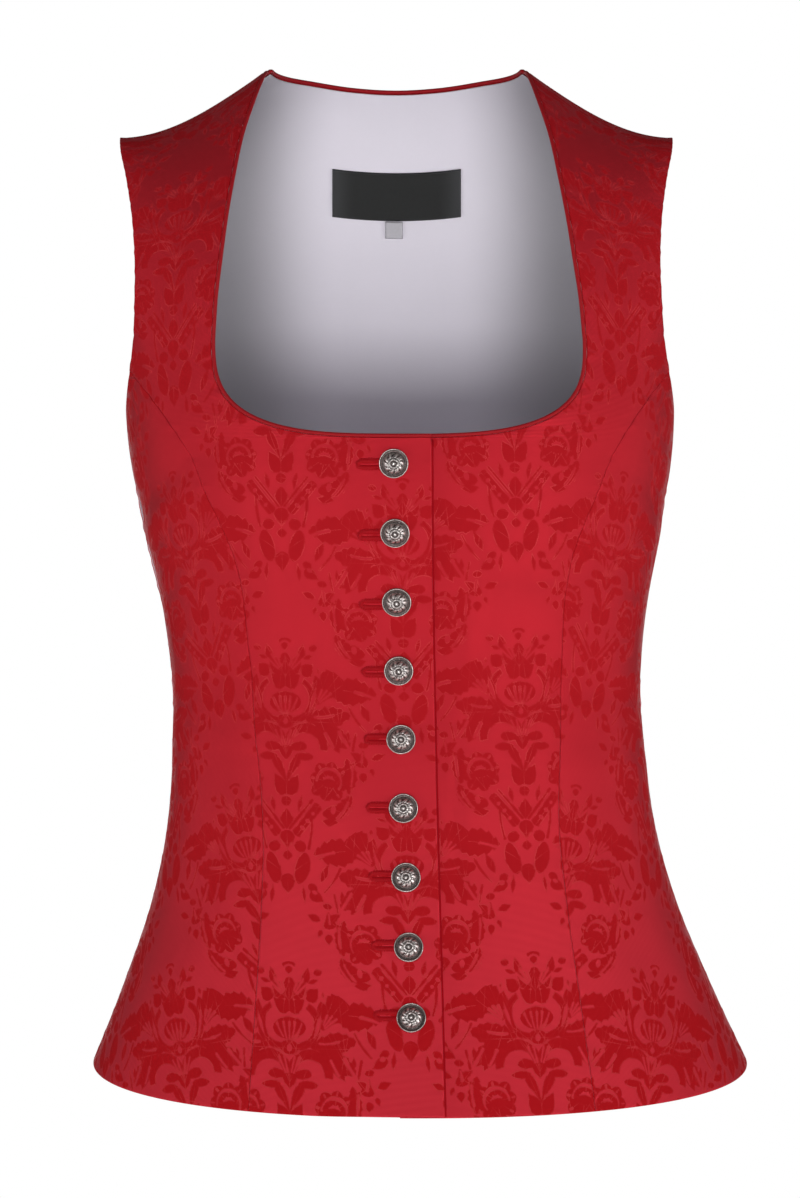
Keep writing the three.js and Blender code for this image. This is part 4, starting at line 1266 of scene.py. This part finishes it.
def hole_stitches(number):
    """The start and end of each stitch on the flat, as offsets from the button's centre."""
    x = np.arange(HOLE_START, HOLE_END, STITCH_SPACING)
    wander = 0.35 * np.sin(4.7 * x + 1.9 * number) + 0.25 * np.sin(11.3 * x + number)
    starts, ends = [], []
    for side in (1, -1):
        starts.append(np.stack([x, np.full(x.shape, side * STITCH_FOOT)], -1))
        ends.append(np.stack([x + 0.12 * side, side * (STITCH_REACH + side * wander)], -1))
    turn = np.radians(np.linspace(*ROUND_ANGLES, ROUND_STITCHES))
    spoke = np.stack([np.cos(turn), np.sin(turn)], -1)
    reach = STITCH_REACH - 0.3 + 0.3 * np.sin(5.1 * turn * number)
    starts.append(np.array([HOLE_START, 0]) + spoke * STITCH_FOOT)
    ends.append(np.array([HOLE_START, 0]) + spoke * reach[:, None])
    return np.concatenate(starts), np.concatenate(ends)


def join(parts):
    """One list of points and one of faces from several."""
    points, faces, count = [], [], 0
    for part_points, part_faces in parts:
        points.append(part_points)
        faces += [tuple(int(corner) + count for corner in face) for face in part_faces]
        count += len(part_points)
    return np.concatenate(points), faces


def add_buttonholes(material):
    share, rise = np.array(STITCH_ARC).T
    for number in range(1, BUTTON_COUNT + 1):
        centre = button_centre(number)
        start, end = hole_stitches(number)
        flat = start[:, None] + (end - start)[:, None] * share[None, :, None]
        x, z = centre[0] + flat[..., 0], centre[2] + flat[..., 1]
        point, normal = surface_spot(FRONT, x, z, LAP_LIFT, mirrored=True)
        path = point + normal * rise[None, :, None]
        run = unit(path[:, -1] - path[:, 0])
        aside = unit(np.cross(run[:, None], normal))
        stitches = zip(path, aside, normal)
        points, faces = join(tube(*stitch, STITCH_RADIUS, STITCH_SIDES) for stitch in stitches)
        uv = points[:, [0, 2]]
        mesh_piece(f"buttonhole_{number}", points, faces, (material,), uv)


def add_camera():
    camera = bpy.data.cameras.new("camera")
    camera.sensor_fit = "VERTICAL"
    camera.sensor_height = SENSOR_HEIGHT
    camera.lens = FOCAL_PIXELS * SENSOR_HEIGHT / FRAME_HEIGHT_PIXELS
    placed = add_object("camera", camera)
    placed.location = CAMERA_PLACE
    placed.rotation_euler = (QUARTER, 0, 0)
    bpy.context.scene.camera = placed


# Soft lights: name, place in metres, width and height in metres, power in watts.
AIM = (0, 0, -0.3)
LIGHTS = (
    ("key", (0.0, -2.5, -0.76), 1.2, 0.5, 24.5),
    ("low", (0.0, -1.3, -1.0), 1.2, 0.3, 1.5),
    ("side_left", (-2.2, -0.8, -0.5), 0.6, 1.2, 14),
    ("side_right", (2.2, -0.8, -0.5), 0.6, 1.2, 18.5),
    ("back", (0.0, 2.4, -0.1), 2.0, 1.2, 16),
)
FILL_STRENGTH = 0.16
# The floor's height and radius are in metres.
FLOOR_Z = -1.25
FLOOR_RADIUS = 3.4
FLOOR_CORNERS = 64


def add_lights():
    for name, place, width, height, power in LIGHTS:
        lamp = bpy.data.lights.new(name, "AREA")
        lamp.shape = "RECTANGLE"
        lamp.size, lamp.size_y, lamp.energy = width, height, power
        placed = add_object(name, lamp)
        placed.location = place
        toward = np.array(AIM) - np.array(place)
        turn = math.atan2(toward[0], toward[1])
        pitch = math.atan2(toward[2], math.hypot(toward[0], toward[1]))
        placed.rotation_euler = (QUARTER + pitch, 0, -turn)
    world = bpy.data.worlds.new("studio")
    world.use_nodes = True
    seen = world.node_tree.nodes.new("ShaderNodeLightPath").outputs["Is Camera Ray"]
    strength = world.node_tree.nodes.new("ShaderNodeMapRange")
    strength.inputs["To Min"].default_value = FILL_STRENGTH
    strength.inputs["To Max"].default_value = 1.0
    background = world.node_tree.nodes["Background"]
    background.inputs["Color"].default_value = (1, 1, 1, 1)
    world.node_tree.links.new(seen, strength.inputs["Value"])
    world.node_tree.links.new(strength.outputs[0], background.inputs["Strength"])
    bpy.context.scene.world = world
    bpy.context.scene.view_settings.view_transform = "Standard"


def add_floor():
    mesh = bpy.data.meshes.new("floor")
    turns = 2 * np.pi * np.arange(FLOOR_CORNERS) / FLOOR_CORNERS
    ring = [(FLOOR_RADIUS * math.cos(t), FLOOR_RADIUS * math.sin(t), FLOOR_Z) for t in turns]
    mesh.from_pydata(ring, [], [tuple(range(FLOOR_CORNERS))])
    graph = Graph("floor")
    speckle = graph.noise(graph.node("NewGeometry").outputs["Position"], 6.0, 4.0)
    color = graph.mix(speckle, (0.84, 0.84, 0.84, 1), (0.88, 0.88, 0.88, 1))
    mesh.materials.append(graph.surface(Base_Color=color, Roughness=0.8))
    add_object("floor", mesh)


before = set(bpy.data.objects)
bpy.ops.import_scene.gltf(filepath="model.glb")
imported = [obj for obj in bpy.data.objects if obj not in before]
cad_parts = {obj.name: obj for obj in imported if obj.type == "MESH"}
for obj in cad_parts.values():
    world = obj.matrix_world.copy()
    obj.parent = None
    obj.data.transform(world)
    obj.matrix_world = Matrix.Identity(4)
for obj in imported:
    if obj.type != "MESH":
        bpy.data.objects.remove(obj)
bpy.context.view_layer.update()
add_camera()
damask, lining, piping = damask_material(), lining_material(), piping_material()
add_cloth(damask, lining)
add_piping(piping)
add_labels(label_material(), tab_material())
add_buttons(silver_material())
add_buttonholes(thread_material())
add_lap_facing_shadow(facing_shadow_material())
declare_cuts()
add_lights()
add_floor()
